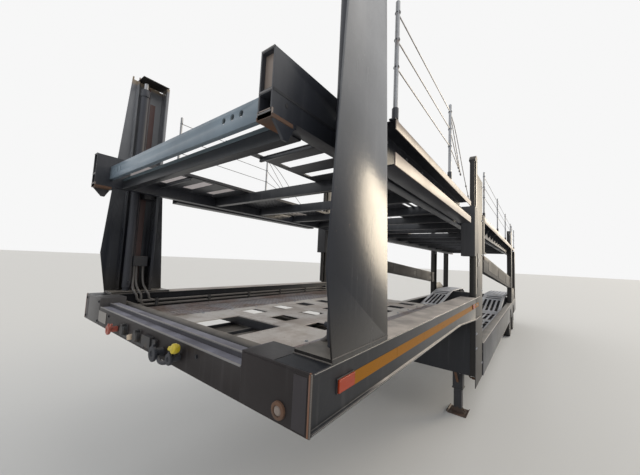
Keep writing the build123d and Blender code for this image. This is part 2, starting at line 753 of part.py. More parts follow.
def rear_runway():
    y = (REAR_DECK_FRONT, TAIL)
    return block((DECK_RUNWAY_IN, DECK_IN), y, (REAR_FLOOR - SHEET, REAR_FLOOR))


def rear_wing(y):
    top, bottom = REAR_DECK_Z[1], REAR_DECK_Z[0]
    profile = [
        (DECK_OUT, top),
        (HALF, top),
        (HALF, top - REAR_WING_LIP),
        (HALF - SHEET, top - REAR_WING_LIP),
        (HALF - SHEET, top - SHEET),
        (WING_WEB + SHEET, top - SHEET),
        (WING_WEB + SHEET, bottom),
        (WING_WEB, bottom),
        (WING_WEB, top - SHEET),
        (DECK_OUT, top - SHEET),
    ]
    return end_prism(profile, y)


REAR_WINGS_Y = ((REAR_WING_START, REAR_POST_Y[0] - 50), (REAR_POST_Y[1] + 50, TAIL_POST_Y[0] - 50))


# Carriages and guides that carry the decks
def carriage(face, towards, z, pin):
    """A C-shaped slide round a guide rail, with its pin; towards is as for the rail."""
    rail_end = face + towards * (RAIL_STEM + RAIL_HEAD)
    back = face + towards * 2 * RUN_GAP
    front = rail_end + towards * (RUN_GAP + CARRIAGE_DEPTH)
    cavity = (rail_end + towards * RUN_GAP, face + towards * (RAIL_STEM - RUN_GAP))
    half_head = RAIL_HEAD_WIDTH / 2 + RUN_GAP
    half_stem = RAIL_STEM_WIDTH / 2 + RUN_GAP
    body = block((CARRIAGE_IN, CARRIAGE_OUT), sorted((back, front)), z)
    body -= block((RAIL_X - half_head, RAIL_X + half_head), sorted(cavity), z)
    body -= block((RAIL_X - half_stem, RAIL_X + half_stem), sorted((cavity[1], back)), z)
    pad = sorted((rail_end + towards * PAD_GAP, rail_end + towards * RUN_GAP))
    for foot in (z[0] + 20, z[1] - 80):
        body += block((RAIL_X - RAIL_HEAD_WIDTH / 2, RAIL_X + RAIL_HEAD_WIDTH / 2), pad, (foot, foot + 60))
    return body + cross_rod((PIN_START, CARRIAGE_IN), pin, PIN_R)


def front_carriage():
    return carriage(MID_MAST_Y[0], -1, (FRONT_CARRIAGE_BOTTOM, CARRIAGE_TOP), FRONT_CARRIAGE_PIN)


def rear_carriage():
    face = MID_MAST_Y[1]
    shelf_bottom = ARM_TIP[1] + ROLLER_R + ROLLER_GAP
    slide = carriage(face, 1, (shelf_bottom, CARRIAGE_TOP), REAR_CARRIAGE_PIN)
    front = face + RAIL_STEM + RAIL_HEAD + RUN_GAP
    shelf = (front, ARM_TIP[0] + ROLLER_R + 10)
    return slide + block((CARRIAGE_IN, CARRIAGE_OUT), shelf, (shelf_bottom, shelf_bottom + 20))


def guide(pin, x, length):
    """A sliding block inside a mast's channel, with its pin."""
    half_y, half_z = length / 2, GUIDE_HEIGHT / 2
    body = block(x, (pin[0] - half_y, pin[0] + half_y), (pin[1] - half_z, pin[1] + half_z))
    return body + cross_rod((PIN_START, x[0]), pin, PIN_R)


def lift_arm():
    """A deep arm whose roller stands proud of its tip, under the rear carriage's shelf."""
    half = ARM_THICK / 2
    middle = (REAR_CHANNEL_IN + HALF - PLATE) / 2
    x = (middle - half, middle + half)
    root = ARM_ROOT_DEPTH / 2
    tip_top = ARM_TIP[1] + ROLLER_R - PLATE
    outline = [
        (ARM_PIVOT[0], ARM_PIVOT[1] + root),
        (ARM_TIP[0], tip_top),
        (ARM_TIP[0], tip_top - ARM_TIP_DEPTH),
        (ARM_PIVOT[0], ARM_PIVOT[1] - root),
    ]
    arm = side_prism(outline, x)
    arm += cross_rod(x, ARM_PIVOT, root, 16)
    arm += cross_rod(x, ARM_TIP, ROLLER_R, 16)
    return arm - cross_rod((x[0] - 10, x[1] + 10), ARM_PIVOT, PIN_R + PIN_FIT)


# Fittings
def marker_lamp(y):
    return block((COLUMN_OUT, HALF - 1), (y, y + 129), LAMP_Z)


def palm_coupling(x, z):
    body = rod((x, -45, z), (x, 0, z), 20, 12)
    return body + rod((x, -62, z), (x, -45, z), 32, 16)


def socket(x):
    z = SOCKET_Z
    return rod((x, -30, z), (x, 0, z), 34, 12) - rod((x, -31, z), (x, -12, z), 26, 12)


def air_tank():
    y0, y1 = BOGIE_START + 150, BOGIE_START + 900
    x, z = TANK_PLACE
    tank = rod((x, y0, z), (x, y1, z), TANK_R, 14)
    for y in (y0 + 120, y1 - 120):
        tank += block((x, BOGIE_BEAM[0]), (y, y + SHEET), (z - TANK_R / 2, z + TANK_R / 2))
    return tank


def underrun_bar():
    bar = block((-UNDERRUN_HALF, UNDERRUN_HALF), (LOW_TAIL - 110, LOW_TAIL - 10), UNDERRUN_Z)
    for x in (BOGIE_BEAM, (-BOGIE_BEAM[1], -BOGIE_BEAM[0])):
        bar += block(x, (LOW_TAIL - 80, LOW_TAIL - 40), (UNDERRUN_Z[1], LOW_MEMBER[0]))
    return bar


def tail_lamp():
    return block((820, 1180), (LOW_TAIL, TAIL), (LOW_MEMBER[0] + 30, LOW_MEMBER[0] + 170))


def ramp():
    rails = None
    ends = (BULKHEAD_Y[1] + PAD_GAP, LOW_TAIL - TAIL_MEMBER - PAD_GAP)
    near, far = RAMP_X
    for x in (near, far - 40):
        rail = block((x, x + 40), ends, RAMP_Z)
        rails = rail if rails is None else rails + rail
    for y in stations(ends[0] + 60, ends[1] - 100, 340):
        rails += block((near + 20, far - 20), (y, y + 40), (RAMP_Z[1] - 50, RAMP_Z[1] - 10))
    return rails


def main():
    save("gooseneck_sills", *both(gooseneck_sill()))
    save("front_beam", front_beam())
    save("front_cross_tube", front_cross_tube())
    save("gooseneck_members", *neck_members())
    save("centre_lattice", centre_lattice())
    save("gooseneck_runways", *both(neck_runway()))
    save("kingpin_plate", kingpin_plate())
    save("drop_wall", *drop_wall())
    save("front_masts", *both(front_mast()))
    save("mid_masts", *both(mid_mast()))
    save("rear_posts", *both(rear_post()))
    save("mast_cylinders", *both(mast_cylinder()))
    save("lock_bars", *both(lock_bar()))
    save("low_longerons", *both(low_longeron()))
    save("low_members", *low_members())
    save("bogie_beams", *both(bogie_beam()))
    save("low_runways", *both(low_runway()))
    save("axles", *[axle(y) for y in AXLES_Y])
    save("suspension", *[piece for y in AXLES_Y for piece in both(suspension(y))])
    save("mudguards", *[piece for y in AXLES_Y for piece in both(mudguard(y))])
    save("landing_legs", *both(landing_leg()))
    for i, y in enumerate(AXLES_Y, 1):
        tyres, hub = tyre(y), rim(y)
        save(f"tyres_{i}_left", *tyres)
        save(f"rims_{i}_left", hub)
        save(f"tyres_{i}_right", *[mirror(piece, about=Plane.YZ) for piece in tyres])
        save(f"rims_{i}_right", mirror(hub, about=Plane.YZ))
    save("front_deck_longerons", *both(front_longeron()))
    save("front_deck_members", *front_members())
    save("front_deck_runways", *both(front_runway()))
    save("front_deck_wings", *both(front_wing()))
    reach = FRONT_WIRE_END - FRONT_POLES[-1]
    save("front_deck_rails", *both(handrail(FRONT_POLES, WING_TOP, reach)))
    save("rear_deck_longerons", *both(rear_longeron()))
    save("rear_deck_members", *rear_members())
    save("rear_deck_runways", *both(rear_runway()))
    save("rear_deck_wings", *[piece for y in REAR_WINGS_Y for piece in both(rear_wing(y))])
    rear_rows = [stations(y[0] + 20, y[1] - 20, REAR_POLE_PITCH) for y in REAR_WINGS_Y]
    rails = [handrail(rows, REAR_DECK_Z[1]) for rows in rear_rows]
    save("rear_deck_rails", *[piece for rail in rails for piece in both(rail)])
    save("front_carriages", *both(front_carriage()))
    save("rear_carriages", *both(rear_carriage()))
    front_guide = guide(FRONT_GUIDE_PIN, (FRONT_CHANNEL_IN + 20, HALF - 30), FRONT_GUIDE_LENGTH)
    rear_guide = guide(REAR_GUIDE_PIN, (REAR_CHANNEL_IN + 10, HALF - 30), REAR_GUIDE_LENGTH)
    save("front_guides", *both(front_guide))
    save("rear_guides", *both(rear_guide))
    arm = lift_arm()
    save("lift_arm_left", arm)
    save("lift_arm_right", mirror(arm, about=Plane.YZ))
    save("marker_lamps", *[piece for y in LAMPS_Y for piece in both(marker_lamp(y))])
    save("air_coupling_red", palm_coupling(*RED_COUPLING))
    save("air_coupling_yellow", palm_coupling(*YELLOW_COUPLING))
    save("sockets", *[socket(x) for x in SOCKETS_X])
    save("air_tanks", *both(air_tank()))
    save("underrun_bar", underrun_bar())
    save("tail_lamps", *both(tail_lamp()))
    save("ramps", *both(ramp()))


main()
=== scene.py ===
"""Two-deck car transporter semi-trailer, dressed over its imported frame.

Sizes are in millimetres, with stations along the trailer counted from the front beam's face, as in the
part's source, and spot() turns them into metres in the frame's own axes.
"""

import math

import bmesh
import bpy
from mathutils import Matrix, Vector


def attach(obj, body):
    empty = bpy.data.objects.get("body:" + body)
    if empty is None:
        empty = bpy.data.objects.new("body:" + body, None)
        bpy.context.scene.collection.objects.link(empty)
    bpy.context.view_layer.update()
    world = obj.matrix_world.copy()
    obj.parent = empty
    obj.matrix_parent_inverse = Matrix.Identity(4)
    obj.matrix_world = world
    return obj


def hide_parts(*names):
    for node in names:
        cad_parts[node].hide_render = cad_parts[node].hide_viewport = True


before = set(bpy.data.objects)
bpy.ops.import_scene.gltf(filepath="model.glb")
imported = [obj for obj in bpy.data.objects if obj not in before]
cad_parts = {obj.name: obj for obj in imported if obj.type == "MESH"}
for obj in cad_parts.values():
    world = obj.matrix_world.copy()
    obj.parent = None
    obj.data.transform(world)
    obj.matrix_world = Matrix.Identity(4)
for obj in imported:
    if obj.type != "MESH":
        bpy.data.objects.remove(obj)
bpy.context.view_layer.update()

# The trailer's driving sizes
MIDDLE = 6400
HALF = 1275
TAIL = 12900
LOW_TAIL = TAIL - 40
SILL_TOP = 1656
SILL_IN = 1083
SILL_WEB_OUT = 1262
NECK_FLOOR = 1491
MAST_FOOT_Y = (120, 614)
MAST_CHANNEL_Y = (205, 452)
MAST_CHANNEL_IN = 1111
MAST_TOP = 3745
MID_MAST_Y = (3430, 4020)
REAR_POST_Y = (TAIL - 2480, TAIL - 2110)
TAIL_POST_Y = (TAIL - 600, TAIL - 260)
AXLES_Y = (TAIL - 2950, TAIL - 1640)
TYRE_R = 394
RIM_R = 222
TYRE_WIDTH = 240
TWIN_PITCH = 272
WHEEL_OUT = 1262
DECK_IN = 1020
DECK_OUT = 1100
DECK_RUNWAY_IN = 430
FRONT_DECK_Y = (-100, 3680)
REAR_DECK_Y = (3740, TAIL)
FRONT_FLOOR = 2698
REAR_FLOOR = 2760
WING_TOP = 2842
WINDOWS = ((290, 400), (545, 650), (800, 892))
SHORT_MEMBER_Y = (360, 420)
WINDOW_OUT = 870
BEAM_RISER_Y = 65
REAR_WING_TOP = 2830
POLE_HEIGHT = 726
WIRE_HEIGHTS = (317, 484, 652)
LOW_TOP = 965
LEG_PLACE = (990, 3809)
SILL_END = 3420
SPRING_X = 590
RAIL_X = HALF - 15
HUB_IN = WHEEL_OUT - TYRE_WIDTH - TWIN_PITCH
DISC_X = WHEEL_OUT - (TYRE_WIDTH + TWIN_PITCH) / 2


def spot(x, y, z):
    """A place on the trailer, from millimetres and stations to metres."""
    return Vector((x / 1000, (y - MIDDLE) / 1000, z / 1000))


# Materials
class Graph:
    """A material's node tree; node() adds any node with its settings first, then its sockets."""

    def __init__(self, name):
        self.material = bpy.data.materials.new(name)
        self.material.use_nodes = True
        self.tree = self.material.node_tree
        self.shader = self.tree.nodes["Principled BSDF"]

    def node(self, kind, settings=(), sockets=(), out=0):
        made = self.tree.nodes.new(kind)
        for key, value in dict(settings).items():
            if key == "stops":
                ramp = made.color_ramp
                for i, (place, colour) in enumerate(value):
                    stop = ramp.elements[i] if i < len(ramp.elements) else ramp.elements.new(place)
                    stop.position = place
                    stop.color = colour
            else:
                setattr(made, key, value)
        for key, value in dict(sockets).items():
            self.feed(made.inputs[key], value)
        return Field(self, made.outputs[out])

    def feed(self, socket, value):
        if isinstance(value, Field):
            self.tree.links.new(value.socket, socket)
        else:
            socket.default_value = value

    def place(self, scale=(1, 1, 1)):
        """Object coordinates, stretched."""
        raw = self.node("ShaderNodeTexCoord", out=3)
        return self.node("ShaderNodeMapping", sockets={"Vector": raw, "Scale": scale})

    def noise(self, size, detail=4, stretch=(1, 1, 1), distortion=0.0, rough=0.55):
        """Soft noise from 0 to 1 whose features are about size metres across."""
        sockets = {"Vector": self.place(stretch), "Scale": 1 / size, "Detail": detail,
                   "Roughness": rough, "Distortion": distortion}
        return self.node("ShaderNodeTexNoise", sockets=sockets)

    def facing_up(self):
        """1 where the surface faces up, 0 where it stands or faces down."""
        normal = self.node("ShaderNodeTexCoord", out=1)
        up = self.node("ShaderNodeSeparateXYZ", sockets={0: normal}, out=2)
        return up.step(0.6, 0.95)

    def along(self, axis):
        """The object's own coordinate along one of its axes, in metres."""
        return self.node("ShaderNodeSeparateXYZ", sockets={0: self.place()}, out="XYZ".index(axis))

    def mix(self, factor, a, b):
        """Colour a where factor is 0 and colour b where it is 1."""
        return self.node("ShaderNodeMix", {"data_type": "RGBA"}, {0: factor, 6: a, 7: b}, out=2)

    def finish(self, colour, roughness, metallic=0.0, bump=None, depth=0.001, **fixed):
        self.feed(self.shader.inputs["Base Color"], colour)
        self.feed(self.shader.inputs["Roughness"], roughness)
        self.feed(self.shader.inputs["Metallic"], metallic)
        if bump is not None:
            sockets = {"Height": bump, "Distance": depth, "Strength": 0.6}
            self.feed(self.shader.inputs["Normal"], self.node("ShaderNodeBump", sockets=sockets))
        for key, value in fixed.items():
            self.shader.inputs[key.replace("_", " ")].default_value = value
        return self.material


class Field:
    """A number that varies over a surface; arithmetic on it adds Math nodes."""

    def __init__(self, graph, socket):
        self.graph = graph
        self.socket = socket

    def math(self, operation, a, b=0.0, clamp=False):
        settings = {"operation": operation, "use_clamp": clamp}
        return self.graph.node("ShaderNodeMath", settings, {0: a, 1: b})

    def __add__(self, other):
        return self.math("ADD", self, other)

    def __mul__(self, other):
        return self.math("MULTIPLY", self, other)

    def __sub__(self, other):
        return self.math("SUBTRACT", self, other)

    def __rsub__(self, other):
        return self.math("SUBTRACT", other, self)

    def clamped(self):
        return self.math("ADD", self, 0.0, True)

    def step(self, low, high):
        """0 below low, 1 above high and smooth between."""
        settings = {"interpolation_type": "SMOOTHSTEP"}
        return self.graph.node("ShaderNodeMapRange", settings, {0: self, 1: low, 2: high, 3: 0.0, 4: 1.0})


def rgb(red, green, blue):
    return (red, green, blue, 1.0)


DUST = rgb(0.42, 0.38, 0.33)
RUST = rgb(0.17, 0.075, 0.035)
EARTH = rgb(0.16, 0.12, 0.085)


def paint(name, colour, dust=0.5, rust=0.35, gloss=0.42, streaks=0.5, dust_and_light_colour=DUST, zones=(),
                    dusty=(), sheen=0.5):
    """Sprayed paint that has stood outdoors: faded patches, rain streaks, rust spots and settled dust, whose
    colour on upward faces can also carry painted light.

    A zone (axis, start, end, colour) turns the paint to its colour from start to end along the axis, and dusty
    has an (axis, start, end) for each edge over which the top colour of dust and painted light fades in.
    """
    g = Graph(name)
    for axis, start, end, other in zones:
        colour = g.mix(g.along(axis).step(start, end), colour, other)
    patches = g.noise(0.9, 5).step(0.35, 0.7)
    streak = g.noise(0.05, 3, stretch=(1, 1, 0.06)).step(0.5, 0.78) * streaks
    tone = g.mix(patches * -0.38 + 0.38, colour, rgb(0, 0, 0))
    tone = g.mix(streak * 0.05, tone, rgb(0.7, 0.7, 0.7))
    speck = g.noise(0.018, 6, rough=0.7).step(0.64, 0.72)
    zone = g.noise(0.55, 4).step(0.5, 0.66)
    rusted = (speck * zone * rust * 2.2).clamped()
    tone = g.mix(rusted, tone, RUST)
    # Upward faces turn to the top colour: settled dust, which on the beam and the sills also carries painted
    # light.
    settled = g.facing_up() * (g.noise(0.16, 6).step(0.25, 0.75) * 0.5 + 0.5) * dust
    for axis, start, end in dusty:
        settled = settled * g.along(axis).step(start, end)
    tone = g.mix(settled.clamped(), tone, dust_and_light_colour)
    roughness = (patches * -0.1 + gloss + settled * 0.35 + rusted * 0.3 + streak * 0.1).clamped()
    fine = g.noise(0.004, 3) * 0.25 + g.noise(0.03, 4) * 0.6 + rusted * 0.6
    return g.finish(tone, roughness, bump=fine, depth=0.0012, Specular_IOR_Level=sheen)


def galvanised(name, colour, dust=0.4, rust=0.3):
    """Zinc-coated sheet with a soft spangle, dull patches and a little rust."""
    g = Graph(name)
    place = g.place()
    spangle = g.node("ShaderNodeTexVoronoi", sockets={"Vector": place, "Scale": 70.0}, out=1)
    grain = g.node("ShaderNodeSeparateColor", sockets={0: spangle})
    dull = [c * 0.62 for c in colour[:3]] + [1.0]
    tone = g.mix((grain * 0.5 + g.noise(0.5, 5).step(0.35, 0.7) * 0.5).clamped(), dull, colour)
    rusted = (g.noise(0.09, 6, rough=0.7).step(0.56, 0.68) * rust * 1.6).clamped()
    tone = g.mix(rusted, tone, RUST)
    settled = (g.facing_up() * g.noise(0.2, 6).step(0.3, 0.7) * dust).clamped()
    tone = g.mix(settled, tone, DUST)
    metallic = (0.75 - rusted * 0.7 - settled * 0.6).clamped()
    roughness = (grain * 0.12 + 0.36 + rusted * 0.4 + settled * 0.35).clamped()
    return g.finish(tone, roughness, metallic, bump=g.noise(0.006, 4), depth=0.0006)


def rusty_floor(name, colour, rust=0.6, earth=0.75):
    """Trodden steel sheet: grey paint worn to brown rust, with earth in the hollows."""
    g = Graph(name)
    worn = g.noise(0.35, 7, rough=0.65).step(0.42, 0.62)
    fine = g.noise(0.02, 6, rough=0.7)
    tone = g.mix((worn * rust + fine.step(0.58, 0.7) * 0.4).clamped(), colour, RUST)
    hollows = g.noise(0.7, 5).step(0.5, 0.72) * g.facing_up()
    tone = g.mix((hollows * earth).clamped(), tone, EARTH)
    pale = g.noise(0.12, 6).step(0.55, 0.75) * g.facing_up() * 0.55
    tone = g.mix(pale, tone, DUST)
    roughness = (worn * 0.2 + 0.62).clamped()
    return g.finish(tone, roughness, bump=fine, depth=0.0015)


def rubber(name):
    g = Graph(name)
    mud = g.noise(0.2, 6).step(0.4, 0.72)
    tone = g.mix(mud * 0.55, rgb(0.018, 0.018, 0.019), rgb(0.11, 0.095, 0.08))
    return g.finish(tone, (mud * 0.2 + 0.68).clamped(), bump=g.noise(0.006, 4), depth=0.0008)


def plastic(name, colour, gloss=0.35, dirt=0.3):
    g = Graph(name)
    grime = (g.noise(0.05, 5).step(0.45, 0.75) * dirt).clamped()
    tone = g.mix(grime, colour, EARTH)
    return g.finish(tone, (grime * 0.4 + gloss).clamped(), bump=g.noise(0.003, 3), depth=0.0003)


def lens(name, colour):
    """A lamp glass with fine ribs behind its face."""
    g = Graph(name)
    sockets = {"Vector": g.place(), "Scale": 90.0, "Distortion": 0.0}
    ribs = g.node("ShaderNodeTexWave", {"bands_direction": "Y"}, sockets, out=1)
    bright = [min(1.0, c * 1.4) for c in colour[:3]] + [1.0]
    tone = g.mix(ribs * 0.5, colour, bright)
    return g.finish(tone, 0.25, bump=ribs, depth=0.0006, Coat_Weight=0.1, Specular_IOR_Level=0.25)


def reflective_tape(name, colour):
    """Marking tape with a fine honeycomb under a scuffed film."""
    g = Graph(name)
    cells = g.node("ShaderNodeTexVoronoi", {"feature": "DISTANCE_TO_EDGE"}, {"Vector": g.place(), "Scale": 240.0})
    scuffs = g.noise(0.03, 6, stretch=(1, 0.25, 1), rough=0.7).step(0.55, 0.75)
    dull = [c * 0.55 for c in colour[:3]] + [1.0]
    tone = g.mix((cells.step(0.0, 0.1) * 0.6 + 0.4).clamped(), dull, colour)
    tone = g.mix(scuffs * 0.3, tone, rgb(0.2, 0.14, 0.06))
    return g.finish(tone, (scuffs * 0.3 + 0.5).clamped(), bump=cells, depth=0.0002, Specular_IOR_Level=0.1)


def polished_rod(name):
    g = Graph(name)
    film = g.noise(0.15, 5).step(0.4, 0.7)
    tone = g.mix(film, rgb(0.3, 0.3, 0.31), rgb(0.16, 0.15, 0.135))
    return g.finish(tone, (film * 0.3 + 0.2).clamped(), 0.9, bump=g.noise(0.01, 3), depth=0.0002)


SLATE = rgb(0.04, 0.044, 0.056)
# This tan is painted sunlight, the colour of the wing lips where the low sun lights them; the wings' outer faces
# are painted with it.
SUNLIT_TAN = rgb(0.33, 0.27, 0.235)
SUNLIT_OUTER_LIPS = (("X", 1.268, 1.272, SUNLIT_TAN), ("X", -1.268, -1.272, SUNLIT_TAN))
# Mast zones: the paler upper half is a painted reflection of the bright sky, and the tan band at the very top is
# painted sunlight; below 1.7 m the paint turns brownish.
MAST_ZONES_WITH_PAINTED_LIGHT = (("Z", 2.15, 2.9, rgb(0.2, 0.208, 0.225)), ("Z", 1.95, 1.7, rgb(0.034, 0.031, 0.03)),
                ("Z", 3.68, 3.72, rgb(0.3, 0.245, 0.185)))
# The nose's front face is painted pale blue as the sky light it faces.
NOSE_PAINTED_SKYLIGHT = (("Y", -6.3, -6.36, rgb(0.2, 0.265, 0.325)),)
# The beam's left end is painted lighter as the end the light falls on.
BEAM_PAINTED_LIT_END = (("X", -0.6, -1.2, rgb(0.19, 0.185, 0.186)),)
# The sill tops take their pale top colour only behind the masts.
BEHIND_MASTS = (("Y", -6.0, -5.75),)
# The beam's fold tops take a blue-grey top colour: dust with a painted sky highlight.
FOLDS = (("X", -0.92, -0.88), ("X", 0.92, 0.88))
BY_SLOT = {
    "slate_paint": {
        "slate": paint("slate paint", SLATE),
        # The lip's pale sky blue is painted sky light on a member's top edge.
        "skylit lip": paint("lip paint, painted sky light", rgb(0.15, 0.195, 0.225), dust=0.2, rust=0.3),
        "arm": paint("lift arm paint", rgb(0.027, 0.027, 0.031), dust=0.5, rust=0.5, gloss=0.62, sheen=0.2),
        "post": paint("post paint", rgb(0.028, 0.026, 0.026), dust=0.5, rust=0.6, gloss=0.5, sheen=0.3),
        # The sill's pale top colour is dust lightened with painted sunlight.
        "sill": paint("slate sill paint, dusty top lightened as sunlit", rgb(0.022, 0.024, 0.03), dust=1.0,
                      dust_and_light_colour=rgb(0.54, 0.49, 0.45), dusty=BEHIND_MASTS, sheen=0.3),
        # Beam: blue-grey dust with a painted sky highlight on the fold tops, and a painted lit left end.
        "beam": paint("scuffed beam paint", rgb(0.027, 0.022, 0.023), dust=1.0, rust=0.8, gloss=0.5,
                      dust_and_light_colour=rgb(0.28, 0.28, 0.33), zones=BEAM_PAINTED_LIT_END, dusty=FOLDS, sheen=0.25),
        "beam riser": paint("scuffed riser paint", rgb(0.1, 0.098, 0.11), dust=0.2, rust=0.6, sheen=0.3),
        "beam end": paint("beam end paint", rgb(0.05, 0.044, 0.05), dust=0.2, rust=0.6, sheen=0.3),
        # The mast paint carries painted light: a sky reflection on its upper half and sunlight on its top band.
        "mast": paint("mast paint with painted sky reflection and sunlit top", rgb(0.022, 0.025, 0.034), dust=0.6, rust=0.2, gloss=0.27, streaks=0.3,
                      zones=MAST_ZONES_WITH_PAINTED_LIGHT, sheen=0.3),
        # Its front face at the nose is painted pale blue as sky light.
        "nose": paint("deck paint, painted sky light on the nose face", rgb(0.03, 0.033, 0.04), rust=0.4, zones=NOSE_PAINTED_SKYLIGHT),
        # The wings' outer faces are painted tan as sunlit.
        "wing": paint("wing paint, painted sunlight on outer lips", rgb(0.03, 0.032, 0.042), rust=0.3, zones=SUNLIT_OUTER_LIPS, sheen=0.3),
        "weld": paint("weld metal", rgb(0.16, 0.145, 0.135), dust=0.5, rust=0.9),
        # Pale edge lines: worn paint, and on the beam folds and sill lips painted highlight.
        "worn and highlit edge": paint("pale edge lines, worn paint and painted highlight", rgb(0.24, 0.235, 0.24), dust=0.6, rust=0.9),
        "pipe": paint("sprayed pipe", rgb(0.15, 0.14, 0.135), dust=0.6, rust=0.2),
        # Tan web paint: painted sunlight.
        "sunlit tan web": paint("tan web, painted sunlight", SUNLIT_TAN, dust=0.3, rust=0.7),
        "plate": paint("scuffed pale plate", rgb(0.32, 0.3, 0.28), dust=0.3, rust=0.8),
        "rubbed web": paint("web rubbed by tyres", rgb(0.4, 0.385, 0.41), dust=0.3, rust=0.4),
        "deck sheet": paint("painted deck sheet", rgb(0.035, 0.037, 0.045), dust=0.9, rust=0.6, sheen=0.3),
        # A bright cream band of painted sunlight.
        "painted sun band": paint("band of painted sunlight", rgb(0.62, 0.57, 0.49), dust=0.2, rust=0.3),
    },
    "zinc": {
        "zinc": galvanised("galvanised sheet", rgb(0.5, 0.52, 0.57)),
        "wire": galvanised("zinc wire", rgb(0.4, 0.41, 0.43), dust=0.1),
        "rod": polished_rod("cylinder rod"),
        "cable": galvanised("wire rope", rgb(0.3, 0.3, 0.31), dust=0.1),
    },
    "dark_steel": {
        "underside": paint("underside paint", rgb(0.03, 0.031, 0.037), dust=0.5, rust=0.7, gloss=0.6),
    },
    "cylinder_grey": {
        "cylinder": paint("cylinder paint", rgb(0.045, 0.048, 0.06), dust=0.2, rust=0.3, gloss=0.5, sheen=0.3),
        "cream": plastic("cream cap", rgb(0.55, 0.44, 0.33)),
        "clear lens": lens("clear lens", rgb(0.2, 0.165, 0.145)),
    },
    "rusty_steel": {
        "lattice": rusty_floor("trodden lattice plate", rgb(0.58, 0.55, 0.525), rust=0.25, earth=0.4),
        "runway": rusty_floor("trodden runway", rgb(0.26, 0.25, 0.265), rust=0.4),
        "rust": rusty_floor("rusty steel", rgb(0.075, 0.052, 0.04), rust=0.7),
        "seam": rusty_floor("rusty seam", rgb(0.19, 0.105, 0.075), rust=0.6),
        "red bar": paint("rusty red bar", rgb(0.11, 0.05, 0.045), dust=0.2, rust=1.0),
    },
    "tyre": {
        "rubber": rubber("tyre rubber"),
    },
    "rim": {
        "rim": paint("rim paint", rgb(0.36, 0.36, 0.36), dust=0.5, rust=0.6),
    },
    "red_plastic": {
        "red": plastic("red coupling", rgb(0.36, 0.085, 0.06)),
    },
    "yellow_plastic": {
        "yellow": plastic("yellow coupling", rgb(0.6, 0.47, 0.02)),
    },
    "black_plastic": {
        "black": plastic("black plastic", rgb(0.022, 0.022, 0.025), 0.5),
    },
    "amber_lens": {
        "amber": lens("amber lens", rgb(0.27, 0.03, 0.006)),
        "amber tape": reflective_tape("amber tape", rgb(0.25, 0.1, 0.001)),
    },
    "red_lens": {
        "tail red": lens("red lens", rgb(0.55, 0.02, 0.02)),
    },
}
MATERIALS = {name: made for group in BY_SLOT.values() for name, made in group.items()}


# Making pieces
SMOOTH_BELOW = math.radians(35)


